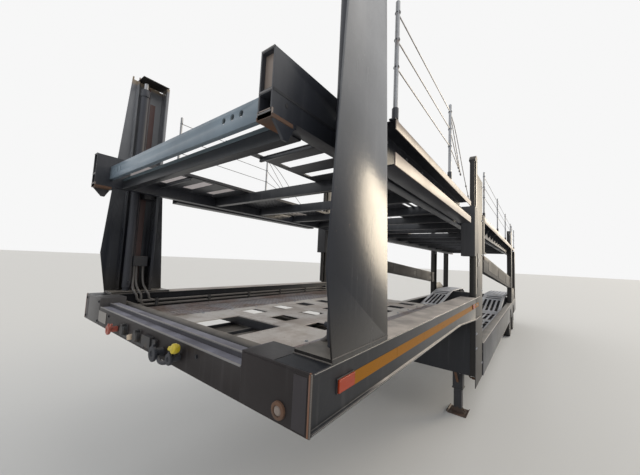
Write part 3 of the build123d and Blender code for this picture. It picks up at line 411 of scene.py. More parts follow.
class Form:
    """Closed shells in millimetres and stations, gathered into one piece."""

    def __init__(self):
        self.mesh = bmesh.new()

    def shell(self, points, faces):
        verts = [self.mesh.verts.new(spot(*point)) for point in points]
        for face in faces:
            self.mesh.faces.new([verts[i] for i in face])
        return self

    def box(self, x, y, z):
        points = [(x[i], y[j], z[k]) for i in (0, 1) for j in (0, 1) for k in (0, 1)]
        faces = ((0, 1, 3, 2), (4, 6, 7, 5), (0, 4, 5, 1), (2, 3, 7, 6), (0, 2, 6, 4), (1, 5, 7, 3))
        return self.shell(points, faces)

    def prism(self, outline, across, span):
        """An outline in the plane across "x", "y" or "z", its two numbers in that order, drawn out along it."""
        n = len(outline)
        place = {"x": lambda a, b, t: (t, a, b), "y": lambda a, b, t: (a, t, b), "z": lambda a, b, t: (a, b, t)}
        points = [place[across](a, b, t) for t in span for a, b in outline]
        sides = [(i, (i + 1) % n, n + (i + 1) % n, n + i) for i in range(n)]
        return self.shell(points, [tuple(range(n)), tuple(range(n, 2 * n)), *sides])

    def lathe(self, profile, start, end, sides=24):
        """A turned body on the line from start to end, from (distance, radius) pairs; radius 0 closes a pole."""
        start, end = Vector(start), Vector(end)
        axis = (end - start).normalized()
        side = axis.orthogonal().normalized()
        up = axis.cross(side)
        points, rows = [], []
        for along, radius in profile:
            count = 1 if radius == 0 else sides
            rows.append(range(len(points), len(points) + count))
            for k in range(count):
                turn = 2 * math.pi * k / sides
                points.append(start + axis * along + (side * math.cos(turn) + up * math.sin(turn)) * radius)
        faces = []
        for near, far in zip(rows, rows[1:]):
            for k in range(sides):
                ring = [row[j % len(row)] for row, j in ((near, k), (near, k + 1), (far, k + 1), (far, k))]
                faces.append(tuple(dict.fromkeys(ring)))
        faces += [tuple(row) for row in (rows[0], rows[-1])]
        return self.shell(points, [face for face in faces if len(face) > 2])

    def bar(self, start, end, radius, sides=16):
        length = (Vector(end) - Vector(start)).length
        return self.lathe([(0, radius), (length, radius)], start, end, sides)

    def ring(self, profile, centre, sides):
        """A closed profile of (X, radius) turned about a line across the trailer at (Y, Z)."""
        n = len(profile)
        points, faces = [], []
        for k in range(sides):
            turn = 2 * math.pi * k / sides
            points += [(x, centre[0] + r * math.cos(turn), centre[1] + r * math.sin(turn)) for x, r in profile]
            here, following = k * n, (k + 1) % sides * n
            for i in range(n):
                faces.append((here + i, here + (i + 1) % n, following + (i + 1) % n, following + i))
        return self.shell(points, faces)

    def pipe(self, points, radius, sides=12):
        """A round tube along a line of points, mitred at its bends."""
        points = [Vector(point) for point in points]
        rows, places = [], []
        side = None
        for i, point in enumerate(points):
            before = (point - points[i - 1]).normalized() if i else (points[1] - point).normalized()
            after = (points[i + 1] - point).normalized() if i < len(points) - 1 else before
            axis = (before + after).normalized()
            side = axis.orthogonal() if side is None else side - axis * side.dot(axis)
            side.normalize()
            up = axis.cross(side)
            rows.append(range(len(places), len(places) + sides))
            for k in range(sides):
                turn = 2 * math.pi * k / sides
                places.append(point + (side * math.cos(turn) + up * math.sin(turn)) * radius)
        faces = [tuple(rows[0]), tuple(rows[-1])]
        for near, far in zip(rows, rows[1:]):
            faces += [(near[k], near[(k + 1) % sides], far[(k + 1) % sides], far[k]) for k in range(sides)]
        return self.shell(places, faces)

    def add(self, mesh, move=None):
        """Copies a finished mesh in metres, moved by a matrix, into this piece."""
        first = len(self.mesh.verts)
        known = len(self.mesh.faces)
        self.mesh.from_mesh(mesh)
        self.mesh.verts.ensure_lookup_table()
        self.mesh.faces.ensure_lookup_table()
        if move is not None:
            bmesh.ops.transform(self.mesh, matrix=move, verts=self.mesh.verts[first:])
        for face in self.mesh.faces[known:]:
            face.material_index = 0
        return self

    def mirror(self):
        """Adds the same on the trailer's other side."""
        copy = bmesh.ops.duplicate(self.mesh, geom=self.mesh.verts[:] + self.mesh.edges[:] + self.mesh.faces[:])
        verts = [item for item in copy["geom"] if isinstance(item, bmesh.types.BMVert)]
        bmesh.ops.transform(self.mesh, matrix=Matrix.Diagonal((-1, 1, 1, 1)), verts=verts)
        faces = [item for item in copy["geom"] if isinstance(item, bmesh.types.BMFace)]
        bmesh.ops.reverse_faces(self.mesh, faces=faces)
        return self

    def piece(self, name, material, replaces=(), soften=0.0, body="chassis"):
        bmesh.ops.recalc_face_normals(self.mesh, faces=self.mesh.faces[:])
        mesh = bpy.data.meshes.new(name)
        self.mesh.to_mesh(mesh)
        self.mesh.free()
        finished(mesh, name, material, replaces, soften, body)


def finished(mesh, name, material, replaces=(), soften=0.0, body="chassis"):
    """Shades a mesh, rounds its edges by soften millimetres and fastens it to its body."""
    mesh.shade_smooth()
    edges = bmesh.new()
    edges.from_mesh(mesh)
    for edge in edges.edges:
        edge.smooth = len(edge.link_faces) == 2 and edge.calc_face_angle(0.0) < SMOOTH_BELOW
    edges.to_mesh(mesh)
    edges.free()
    mesh.materials.append(MATERIALS[material])
    made = bpy.data.objects.new(name, mesh)
    bpy.context.scene.collection.objects.link(made)
    if soften:
        round_edges(made, soften)
    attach(made, body)
    if replaces:
        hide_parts(*replaces)


def round_edges(made, width):
    bevel = made.modifiers.new("worn edges", "BEVEL")
    bevel.width = width / 1000
    bevel.segments = 2
    bevel.limit_method = "ANGLE"
    bevel.angle_limit = SMOOTH_BELOW
    bevel.use_clamp_overlap = True
    bevel.harden_normals = True
    for edge in made.data.edges:
        edge.use_edge_sharp = False


def merged(node):
    """The frame's own form of a node as one closed skin."""
    form = bmesh.new()
    form.from_mesh(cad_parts[node].data)
    bmesh.ops.remove_doubles(form, verts=form.verts[:], dist=1e-5)
    bmesh.ops.dissolve_limit(form, angle_limit=0.002, verts=form.verts[:], edges=form.edges[:])
    mesh = bpy.data.meshes.new(f"{node}_form")
    form.to_mesh(mesh)
    form.free()
    return mesh


# Geometry Nodes for what repeats
class Pattern:
    """A Geometry Nodes tree with named inputs, grown into a plain mesh in metres."""

    def __init__(self, name, inputs, takes_mesh=False):
        self.name = name
        self.tree = bpy.data.node_groups.new(name, "GeometryNodeTree")
        face = self.tree.interface
        face.new_socket("Geometry", in_out="OUTPUT", socket_type="NodeSocketGeometry")
        if takes_mesh:
            face.new_socket("Geometry", in_out="INPUT", socket_type="NodeSocketGeometry")
        self.inputs = {}
        for label, value in {**inputs, "Material": None}.items():
            kind = {float: "Float", int: "Int", tuple: "Vector", type(None): "Material"}[type(value)]
            socket = face.new_socket(label, in_out="INPUT", socket_type=f"NodeSocket{kind}")
            if value is not None:
                socket.default_value = value
            self.inputs[label] = socket.identifier
        self.enter = self.tree.nodes.new("NodeGroupInput")
        self.leave = self.tree.nodes.new("NodeGroupOutput")

    def node(self, kind, sockets=(), settings=()):
        """Adds a node; a socket takes a value, an output of another node or the name of an input."""
        made = self.tree.nodes.new(kind)
        for key, value in dict(settings).items():
            setattr(made, key, value)
        for key, value in dict(sockets).items():
            if isinstance(value, str) and value in self.inputs:
                value = self.enter.outputs[value]
            if isinstance(value, bpy.types.NodeSocket):
                self.tree.links.new(value, made.inputs[key])
            else:
                made.inputs[key].default_value = value
        return made.outputs[0]

    def math(self, operation, a, b=0.0):
        return self.node("ShaderNodeMath", {0: a, 1: b}, {"operation": operation})

    def vector(self, **axes):
        return self.node("ShaderNodeCombineXYZ", {axis.upper(): value for axis, value in axes.items()})

    def cube(self, size):
        return self.node("GeometryNodeMeshCube", {"Size": size})

    def cylinder(self, vertices, radius, depth):
        return self.node("GeometryNodeMeshCylinder", {"Vertices": vertices, "Radius": radius, "Depth": depth})

    def moved(self, geometry, **how):
        return self.node("GeometryNodeTransform", {"Geometry": geometry, **how})

    def copies(self, points, instance, **how):
        return self.node("GeometryNodeInstanceOnPoints", {"Points": points, "Instance": instance, **how})

    def cut(self, mesh, cutters):
        """Takes the copies of a cutter out of a mesh."""
        real = self.node("GeometryNodeRealizeInstances", {0: cutters})
        exact = {"operation": "DIFFERENCE", "solver": "EXACT"}
        return self.node("GeometryNodeMeshBoolean", {0: mesh, 1: real}, exact)

    def join(self, *meshes):
        joined = self.tree.nodes.new("GeometryNodeJoinGeometry")
        for mesh in meshes:
            self.tree.links.new(mesh, joined.inputs[0])
        return joined.outputs[0]

    def close(self, geometry):
        """Ends the tree in Realize Instances and Set Material."""
        real = self.node("GeometryNodeRealizeInstances", {0: geometry})
        dressed = self.node("GeometryNodeSetMaterial", {"Geometry": real, "Material": "Material"})
        self.tree.links.new(dressed, self.leave.inputs[0])
        return self

    def grow(self, material, mesh=None, **values):
        """Runs the tree once and returns its plain mesh."""
        start = mesh or bpy.data.meshes.new(self.name)
        holder = bpy.data.objects.new(self.name, start)
        bpy.context.scene.collection.objects.link(holder)
        modifier = holder.modifiers.new(self.name, "NODES")
        modifier.node_group = self.tree
        modifier[self.inputs["Material"]] = MATERIALS[material]
        for label, value in values.items():
            modifier[self.inputs[label.replace("_", " ").capitalize()]] = value
        depsgraph = bpy.context.evaluated_depsgraph_get()
        grown = bpy.data.meshes.new_from_object(holder.evaluated_get(depsgraph), depsgraph=depsgraph)
        holder.modifiers.clear()
        bpy.data.objects.remove(holder)
        grown.materials.clear()
        return grown


def bolt_pattern():
    """A hexagon head on a washer at each point of a mesh, turned towards the point's facing."""
    p = Pattern("bolts on points", {"Radius": 0.011, "Height": 0.009, "Sides": 6}, takes_mesh=True)
    washer = p.cylinder(12, p.math("MULTIPLY", "Radius", 1.5), p.math("MULTIPLY", "Height", 0.5))
    lift = p.vector(z=p.math("MULTIPLY", "Height", 0.6))
    raised = p.moved(p.cylinder("Sides", "Radius", "Height"), Translation=lift)
    vector = {"data_type": "FLOAT_VECTOR"}
    facing = p.node("GeometryNodeInputNamedAttribute", {"Name": "facing"}, vector)
    turn = p.node("FunctionNodeAlignRotationToVector", {"Vector": facing}, {"axis": "Z"})
    return p.close(p.copies(p.enter.outputs[0], p.join(washer, raised), Rotation=turn))


def punched_pattern():
    """A flat sheet with rows of round or long holes."""
    p = Pattern("punched sheet", {
        "Size": (1.0, 1.0, 0.008), "Hole": 0.02, "Slot": 0.0, "Columns": 4, "Rows": 4,
        "Column pitch": 0.1, "Row pitch": 0.1, "Sides": 12})
    hole = p.cylinder("Sides", "Hole", 0.06)
    ends = [p.moved(hole, Translation=p.vector(y=p.math("MULTIPLY", "Slot", way))) for way in (-0.5, 0.5)]
    cutter = p.node("GeometryNodeConvexHull", {0: p.join(*ends)})
    grid = p.node("GeometryNodeMeshGrid", {
        "Size X": p.math("MULTIPLY", "Column pitch", p.math("SUBTRACT", "Columns", 1.0)),
        "Size Y": p.math("MULTIPLY", "Row pitch", p.math("SUBTRACT", "Rows", 1.0)),
        "Vertices X": "Columns", "Vertices Y": "Rows"})
    return p.close(p.cut(p.cube("Size"), p.copies(grid, cutter)))


def bar_row(p):
    """Equal bars, one step apart."""
    line = {"Count": "Count", "Start Location": "Place", "Offset": "Step"}
    return p.copies(p.node("GeometryNodeMeshLine", line, {"mode": "OFFSET"}), p.cube("Bar"))


def bar_row_pattern():
    """A row of bars that stands by itself."""
    p = Pattern("row of bars", {
        "Count": 4, "Step": (0.0, 0.1, 0.0), "Bar": (0.1, 0.02, 0.02), "Place": (0.0, 0.0, 0.0)})
    return p.close(bar_row(p))


def cut_row_pattern():
    """A row of bars cut out of a mesh."""
    p = Pattern("row of cuts", {
        "Count": 4, "Step": (0.1, 0.0, 0.0), "Bar": (0.07, 1.0, 0.6), "Place": (0.0, 0.0, 0.0)}, takes_mesh=True)
    return p.close(p.cut(p.enter.outputs[0], bar_row(p)))


def around_wheel(p, instance):
    """Copies round the wheel's axis, each with its +Y outwards."""
    share = p.math("DIVIDE", p.node("GeometryNodeInputIndex"), "Count")
    turn = p.math("MULTIPLY", p.math("ADD", share, "Phase"), 2 * math.pi)
    place = p.vector(x="Across", y=p.math("MULTIPLY", "Radius", p.math("COSINE", turn)),
                     z=p.math("MULTIPLY", "Radius", p.math("SINE", turn)))
    points = p.node("GeometryNodePoints", {"Count": "Count", "Position": place})
    return p.copies(points, instance, Rotation=p.node("FunctionNodeEulerToRotation", {0: p.vector(x=turn)}))


def tread_pattern():
    """Blocks round a wheel whose axis is the line across at the origin."""
    p = Pattern("tread blocks", {
        "Count": 60, "Radius": 0.39, "Across": 0.0, "Phase": 0.0, "Skew": 0.0, "Block": (0.05, 0.012, 0.03)})
    block = p.moved(p.cube("Block"), Rotation=p.vector(y="Skew"))
    return p.close(around_wheel(p, block))


def hand_hole_pattern():
    """Round holes through a wheel disc, whose axis is the line across at the origin."""
    p = Pattern("hand holes", {"Count": 10, "Radius": 0.15, "Across": 0.0, "Phase": 0.0, "Hole": 0.025},
                takes_mesh=True)
    drill = p.moved(p.cylinder(14, "Hole", 0.16), Rotation=(0.0, math.pi / 2, 0.0))
    return p.close(p.cut(p.enter.outputs[0], around_wheel(p, drill)))


def weld_pattern():
    """Overlapping ripples of weld metal along a line."""
    p = Pattern("weld ripples", {"Radius": 0.005, "Pitch": 0.007}, takes_mesh=True)
    line = p.node("GeometryNodeMeshToCurve", {0: p.enter.outputs[0]})
    even = p.node("GeometryNodeResampleCurve", {"Curve": line, "Length": "Pitch"}, {"mode": "LENGTH"})
    return p.close(p.copies(even, p.node("GeometryNodeMeshIcoSphere", {"Radius": "Radius", "Subdivisions": 1})))


BOLTS = bolt_pattern()
PUNCHED = punched_pattern()
BAR_ROW = bar_row_pattern()
CUT_ROW = cut_row_pattern()
TREAD = tread_pattern()
HAND_HOLES = hand_hole_pattern()
WELD = weld_pattern()


def bolts(name, places, facing, radius=11, height=9, material="zinc", sides=6, body="chassis"):
    """Bolt heads at places in millimetres; a place with its own facing is a pair of the two."""
    spots = [place if isinstance(place[0], tuple) else (place, facing) for place in places]
    mesh = bpy.data.meshes.new(name)
    mesh.from_pydata([spot(*place) for place, _ in spots], [], [])
    towards = mesh.attributes.new("facing", "FLOAT_VECTOR", "POINT")
    for i, (_, way) in enumerate(spots):
        towards.data[i].vector = way
    grown = BOLTS.grow(material, mesh, radius=radius / 1000, height=height / 1000, sides=sides)
    finished(grown, name, material, body=body)


def outward(x, ys, zs, way=1):
    """Bolt places on both sides, with their facing, at an X and at every one of the stations and heights."""
    return [((side * x, y, z), (side * way, 0, 0)) for side in (1, -1) for y in ys for z in zs]


def weld(name, lines, radius):
    """Weld beads along open lines of points in millimetres, the same on both sides."""
    form = Form()
    for side in (1, -1):
        for line in lines:
            mesh = bpy.data.meshes.new(name)
            edges = [(i, i + 1) for i in range(len(line) - 1)]
            mesh.from_pydata([spot(side * x, y, z) for x, y, z in line], edges, [])
            form.add(WELD.grow("weld", mesh, radius=radius / 1000, pitch=radius * 1.3 / 1000))
    form.piece(name, "weld")


def one_box(name, material, x, y, z, soften=0.0, body="chassis"):
    Form().box(x, y, z).piece(name, material, (), soften, body)


def side_boxes(name, material, x, y, z, soften=0.0, body="chassis"):
    """The same box on both sides of the trailer."""
    Form().box(x, y, z).mirror().piece(name, material, (), soften, body)


def steps(first, last, pitch):
    """Even stations from first to last, about one pitch apart."""
    count = max(1, round((last - first) / pitch))
    return [first + (last - first) * i / count for i in range(count + 1)]


def smooth_run(points, count=6):
    """Points of a Catmull-Rom curve through a pipe's bends."""
    points = [Vector(p) for p in points]
    out = []
    for i in range(len(points) - 1):
        a, b, c, d = (points[max(0, min(len(points) - 1, k))] for k in (i - 1, i, i + 1, i + 2))
        for k in range(count):
            t = k / count
            square, cube = 2 * a - 5 * b + 4 * c - d, 3 * b - a - 3 * c + d
            out.append(0.5 * (2 * b + (c - a) * t + square * t ** 2 + cube * t ** 3))
    return out + [points[-1]]


# The frame's own forms, with rounded edges
PRESSED = {
    "chassis": {
        "sill": (("gooseneck_sills", 3), ("drop_wall", 3)),
        "beam": (("front_beam", 2),),
        "mast": (("front_masts", 2),),
        "post": (("mid_masts", 2), ("rear_posts", 2)),
        "slate": (("low_longerons", 3),),
        "underside": (("gooseneck_members", 1.5), ("kingpin_plate", 2), ("low_members", 3), ("bogie_beams", 3),
                      ("underrun_bar", 6)),
        "lattice": (("centre_lattice", 1.5),),
        "zinc": (("ramps", 3),),
    },
    "front_deck": {"slate": (("front_deck_longerons", 2),), "wing": (("front_deck_wings", 2),)},
    "rear_deck": {"slate": (("rear_deck_longerons", 2),), "wing": (("rear_deck_wings", 2),),
                  "underside": (("rear_deck_members", 2),)},
    "front_lift": {"underside": (("front_carriages", 3),)},
    "rear_lift": {"underside": (("rear_carriages", 3),)},
    "front_slides": {"underside": (("front_guides", 4),)},
    "rear_slides": {"underside": (("rear_guides", 4),)},
    "arm_left": {"arm": (("lift_arm_left", 4),)},
    "arm_right": {"arm": (("lift_arm_right", 4),)},
}
for body, finishes in PRESSED.items():
    for material, nodes in finishes.items():
        for node, soften in nodes:
            finished(merged(node), f"{node}_form", material, (node,), soften, body)


# Front beam and couplings
def cross_tube():
    end = SILL_IN + 12
    tube = Form().bar((-end, 235, 1545), (end, 235, 1545), 50, 48)
    tube.piece("cross_tube", "underside", ("front_cross_tube",))


def palm_coupling(form, x, z, s=1.0):
    """A palm coupling, s times the usual size: elbow, round palm with its seal, locking claw and guide plate."""
    form.lathe([(0, 20 * s), (30, 20 * s), (34, 17 * s), (46, 17 * s)], (x, 0, z), (x, -60, z), 28)
    form.lathe([(0, 30 * s), (3, 33 * s), (14, 33 * s), (17, 30 * s), (17, 14 * s), (12, 12 * s), (12, 0)],
               (x, -44, z), (x, -61, z), 36)
    form.box((x - 9, x + 9), (-58, -48), (z + 20 * s, z + 42 * s))
    form.box((x - 30 * s, x - 22 * s), (-60, -44), (z - 16, z + 16))


def couplings():
    """The red coupling, two sockets in their dark boxes, and the grey coupling with its yellow cap."""
    red = Form()
    palm_coupling(red, -500, 1488)
    red.prism([(-530, 1500), (-500, 1512), (-462, 1536), (-452, 1530), (-470, 1500), (-500, 1486)],
              "y", (-54, -42))
    red.piece("coupling_red", "red", ("air_coupling_red",), 1.5)
    yellow = Form()
    yellow.lathe([(0, 12), (4, 20), (20, 26), (34, 24), (40, 14), (40, 0)],
                 (425, -20, 1558), (425, -62, 1566), 28)
    yellow.prism([(372, 1552), (380, 1546), (424, 1552), (424, 1574), (384, 1568)], "y", (-54, -40))
    yellow.piece("coupling_yellow", "yellow", ("air_coupling_yellow",), 2)
    grey = Form()
    palm_coupling(grey, 212, 1490, 1.25)
    palm_coupling(grey, 398, 1506, 0.9)
    bend = [(240, -34, 1476), (290, -48, 1468), (340, -48, 1474), (388, -34, 1496), (404, -22, 1548)]
    grey.pipe(smooth_run(bend), 11, 14)
    grey.piece("coupling_grey", "cylinder", (), 1.5)
    boxes = Form()
    z = 1510
    for x in (-340, -120):
        boxes.lathe([(0, 34), (24, 34), (27, 31), (27, 0)], (x, 0, z), (x, -30, z), 36)
        boxes.lathe([(0, 31), (3, 29), (3, 0)], (x, -27, z), (x, -30, z), 32)
        boxes.box((x - 14, x + 14), (-30, -2), (z + 31, z + 40))
        boxes.box((x - 40, x + 40), (-4, 0), (z - 40, z + 40))
    boxes.box((-20, 96), (-26, 0), (1482, 1546))
    boxes.box((104, 150), (-18, 0), (1500, 1540))
    boxes.piece("sockets_with_lids", "black", ("sockets",), 1.5)
    cap = Form().lathe([(0, 10), (3, 17), (26, 18), (32, 12), (32, 0)], (-196, -22, 1478), (-196, -26, 1530), 24)
    cap.piece("socket_cap", "cream")


def beam_fittings():
    """Folds painted bright as highlights, end strips, corner seams, the ringed lamp and the pale plate of the
    front beam.
    """
    # Pale lines along the beam's folds are painted highlights.
    brim = Form()
    for y, z in ((4, 1585), (68, 1610)):
        brim.pipe([(-896, y, z), (896, y, z)], 5, 10)
    brim.piece("beam_fold_painted_highlights", "worn and highlit edge")
    one_box("beam_riser", "beam riser", (-893, 893), (BEAM_RISER_Y - 1.5, BEAM_RISER_Y), (1586, 1606), 0.4)
    side_boxes("beam_end_plates", "beam", (905, SILL_WEB_OUT), (-3, 0), (1452, 1648), 1.5)
    side_boxes("beam_end_strips", "beam end", (1196, 1258), (-4.5, -3), (1456, 1640), 0.4)
    seams = Form().pipe([(HALF - 8, -1, 1450), (HALF - 8, -1, 1652)], 4, 10)
    seams.pipe([(SILL_WEB_OUT + 2, 2, SILL_TOP), (HALF - 4, 2, SILL_TOP)], 3, 8)
    seams.mirror().piece("beam_corner_seams", "seam")
    x, z = 1132, 1494
    ring = Form().lathe([(0, 33), (9, 32), (12, 28), (12, 20), (4, 17)], (x, -2, z), (x, -20, z), 36)
    ring.piece("beam_lamp_ring", "rust")
    glass = Form().lathe([(0, 19), (7, 18), (11, 12), (12, 0)], (x, -3, z), (x, -20, z), 32)
    glass.piece("beam_lamp_glass", "clear lens")
    one_box("beam_pale_plate", "plate", (-905, -735), (-4, -0.5), (1478, 1560), 1)
    one_box("coupling_rail", "sill", (-430, -30), (-6, 0), (1462, 1476), 1.5)
    places = [(x, -3, z) for x in (-1240, -930) for z in (1475, 1625)]
    places += [(x, 0, 1545) for x in (-690, 560)]
    bolts("beam_bolts", places, (0, -1, 0), 8, 6, "sill")


# Sills
def sill_fittings():
    """Marking tape, marker lamps, clamped pipes, lips worn pale and painted highlit, and the welds at the masts'
    feet.
    """
    tape, lamps, bases, pipes, clamps, edges = (Form() for _ in range(6))
    for first in range(298, 3185, 481):
        tape.box((SILL_WEB_OUT, SILL_WEB_OUT + 0.8), (first, first + 479), (1525, 1581))
    tape.mirror().piece("sill_tapes", "amber tape")
    for y in (171, MID_MAST_Y[0] - 260):
        lamps.box((SILL_WEB_OUT + 3, SILL_WEB_OUT + 12), (y + 4, y + 125), (1533, 1585))
        bases.box((SILL_WEB_OUT, SILL_WEB_OUT + 4), (y, y + 129), (1530, 1588))
    lamps.mirror().piece("side_lamp_glasses", "amber", ("marker_lamps",), 3)
    bases.mirror().piece("side_lamp_bases", "black", (), 1)
    for z in (1585, 1547):
        pipes.pipe([(-1068, 330, z), (-1068, 3180, z), (-1062, 3230, z - 14), (-1062, SILL_END, z - 14)], 11, 12)
    pipes.piece("sill_pipes", "pipe")
    for y in range(480, 3300, 560):
        clamps.box((-1090, -1052), (y, y + 30), (1530, 1602))
    clamps.piece("sill_pipe_clamps", "black", (), 3)
    # Pale lines along the sill lips: worn paint and painted highlight.
    for z, end in ((SILL_TOP - 5, SILL_END), (1454, 2421)):
        edges.pipe([(HALF - 4, 14, z), (HALF - 4, end, z)], 4.5, 8)
    edges.mirror().piece("sill_lip_worn_and_highlit_edges", "worn and highlit edge")
    front, rear = MAST_FOOT_Y
    weld("sill_welds", [
        [(HALF - 2, front, SILL_TOP + 20), (HALF - 2, rear, SILL_TOP + 20)],
        [(SILL_IN + 4, front, SILL_TOP + 2), (HALF - 4, front, SILL_TOP + 2)],
        [(SILL_IN, front, SILL_TOP + 3), (SILL_IN, rear, SILL_TOP + 3)],
        [(HALF - 2, 1, SILL_TOP - 4), (HALF - 2, 1, 1450)]], 4)


# Gooseneck floor
def neck_floor():
    """Punched runways beside the lattice plate, with their upturned inner edges."""
    near, far, inner = 290, 3430, 660
    size = ((SILL_IN - inner) / 1000, (far - near) / 1000, 0.008)
    holes = PUNCHED.grow("runway", size=size, hole=0.018, columns=7, rows=45,
                         column_pitch=0.058, row_pitch=0.06, sides=10)
    middle = spot((inner + SILL_IN) / 2, (near + far) / 2, NECK_FLOOR - 4)
    runways = Form().add(holes, Matrix.Translation(middle))
    runways.box((SILL_IN - 8, SILL_IN), (near, far), (NECK_FLOOR - 6, NECK_FLOOR + 28))
    runways.box((SILL_IN - 3, SILL_IN + 13), (near, far), (NECK_FLOOR - 8, NECK_FLOOR))
    runways.mirror().piece("punched_neck_runways", "runway", ("gooseneck_runways",), 1)
    places = [(x, y, NECK_FLOOR) for x in (-640, 640) for y in steps(420, 3330, 320)]
    bolts("neck_floor_bolts", places, (0, 0, 1), 10, 7)


# Front masts
def mast_fittings():
    """Cylinders, lock bars, wear strips, lids, pins and clamped hoses in the masts' channels."""
    x, y = MAST_CHANNEL_IN + 74, MAST_CHANNEL_Y[0] + 58
    head = MAST_TOP - 110
    barrels = Form()
    barrels.lathe([(0, 30), (26, 30), (30, 36), (head - 1746, 36), (head - 1740, 42), (head - 1676, 42),
                   (head - 1670, 38), (head - 1670, 0)], (x, y, 1674), (x, y, MAST_TOP), 40)
    for z in (1760, head - 60):
        barrels.bar((x - 30, y, z), (x - 52, y, z), 12, 16)
    barrels.mirror().piece("mast_barrels", "cylinder", ("mast_cylinders",))
    Form().bar((x, y, head - 2), (x, y, MAST_TOP - 40), 21, 32).mirror().piece("mast_rods", "rod")
    bar = PUNCHED.grow("red bar", size=(0.024, 2.02, 0.014), hole=0.006, slot=0.03, columns=1, rows=22,
                       column_pitch=0.02, row_pitch=0.09, sides=10)
    stand = Matrix.Translation(spot(1243, 314, 2690)) @ Matrix.Rotation(math.pi / 2, 4, "X")
    Form().add(bar, stand).mirror().piece("notched_lock_bars", "red bar", ("lock_bars",))
    side_boxes("channel_wear_strips", "red bar", (1252.5, 1255), (336, 384), (1760, 3560), 0.5)
    front, rear = MAST_CHANNEL_Y
    side_boxes("mast_lids", "post", (MAST_CHANNEL_IN + 4, SILL_WEB_OUT), (front + 3, rear - 2),
               (MAST_TOP - 10, MAST_TOP - 2), 1)
    pins = Form().bar((1238, 216, MAST_TOP - 30), (1238, 216, MAST_TOP + 27), 5, 10)
    pins.mirror().piece("mast_top_pins", "seam")
    side_boxes("mast_hose_clamps", "underside", (x - 40, x + 22), (290, 412), (1905, 2000), 3)
    hoses = Form()
    for side in (1, -1):
        for i, (top, foot) in enumerate(((309, 300), (331, 338), (388, 404))):
            z = 1585 - 38 * (i % 2)
            route = [(x - 5, top, 1912), (x - 8, top + 3, 1820), (x - 26, (top + foot) / 2, 1740),
                     (x - 70, foot, 1688), (SILL_IN - 2, foot + 4, 1664), (SILL_IN - 14, foot + 14, 1640),
                     (SILL_IN - 15, foot + 24, z + 18), (SILL_IN - 15, foot + 60, z)]
            hoses.pipe([(side * a, b, c) for a, b, c in smooth_run(route)], 11, 14)
    hoses.piece("mast_pipes", "pipe")


# Upper decks
BEAD = [(0, 4), (6, 9), (22, 9), (28, 4)]


def deck_sheet(form, x, y, floor, holes):
    """Punched sheet between two lines and two stations; holes are the pattern's inputs."""
    size = ((x[1] - x[0]) / 1000, (y[1] - y[0]) / 1000, 0.006)
    sheet = PUNCHED.grow("deck sheet", size=size, **holes)
    form.add(sheet, Matrix.Translation(spot(sum(x) / 2, sum(y) / 2, floor - 4)))


def sheet_edges(form, y, floor):
    """Upturned edges along both sides of a runway."""
    for x in (DECK_RUNWAY_IN, DECK_IN - 6):
        form.box((x, x + 6), y, (floor - 7, floor + 22))


def front_runways():
    """Windows behind the nose, then small round holes, with four long slots over the carriages' return."""
    form = Form()
    inner, middle, outer, last = DECK_RUNWAY_IN, 722, DECK_IN, FRONT_DECK_Y[1]
    start, stop = WINDOWS[0][0] - 140, WINDOWS[-1][1] + 120
    bands = [start, *(y for window in WINDOWS for y in window), stop]
    for first, end in zip(bands[::2], bands[1::2]):
        form.box((inner, WINDOW_OUT), (first, end), (FRONT_FLOOR - 7, FRONT_FLOOR - 1))
    form.box((inner, inner + 40), (start + 1, stop - 1), (FRONT_FLOOR - 6.5, FRONT_FLOOR - 1.5))
    wide = dict(hole=0.014, columns=1, rows=4, column_pitch=0.1, row_pitch=0.235, sides=12)
    small = dict(hole=0.0105, columns=5, column_pitch=0.052, row_pitch=0.056, sides=8)
    long = dict(hole=0.019, slot=0.2, columns=4, rows=1, column_pitch=0.072, row_pitch=0.1, sides=10)
    for x, y, holes in (((WINDOW_OUT, outer), (start, stop), wide),
                        ((inner, middle), (stop, last), dict(small, rows=44)),
                        ((middle, outer), (stop, 2060), dict(small, rows=15)),
                        ((middle, outer), (2060, 2380), long),
                        ((middle, outer), (2380, last), dict(small, rows=21))):
        deck_sheet(form, x, y, FRONT_FLOOR, holes)
    sheet_edges(form, (start, last), FRONT_FLOOR)
    form.mirror().piece("front_runways_punched", "deck sheet", ("front_deck_runways",), 1, "front_deck")


def rear_runways():
    """Long slots over the whole deck."""
    form = Form()
    deck_sheet(form, (DECK_RUNWAY_IN, DECK_IN), REAR_DECK_Y, REAR_FLOOR,
               dict(hole=0.018, slot=0.08, columns=5, rows=52, column_pitch=0.105, row_pitch=0.172, sides=10))
    sheet_edges(form, REAR_DECK_Y, REAR_FLOOR)
    form.mirror().piece("rear_runways_punched", "deck sheet", ("rear_deck_runways",), 1, "rear_deck")


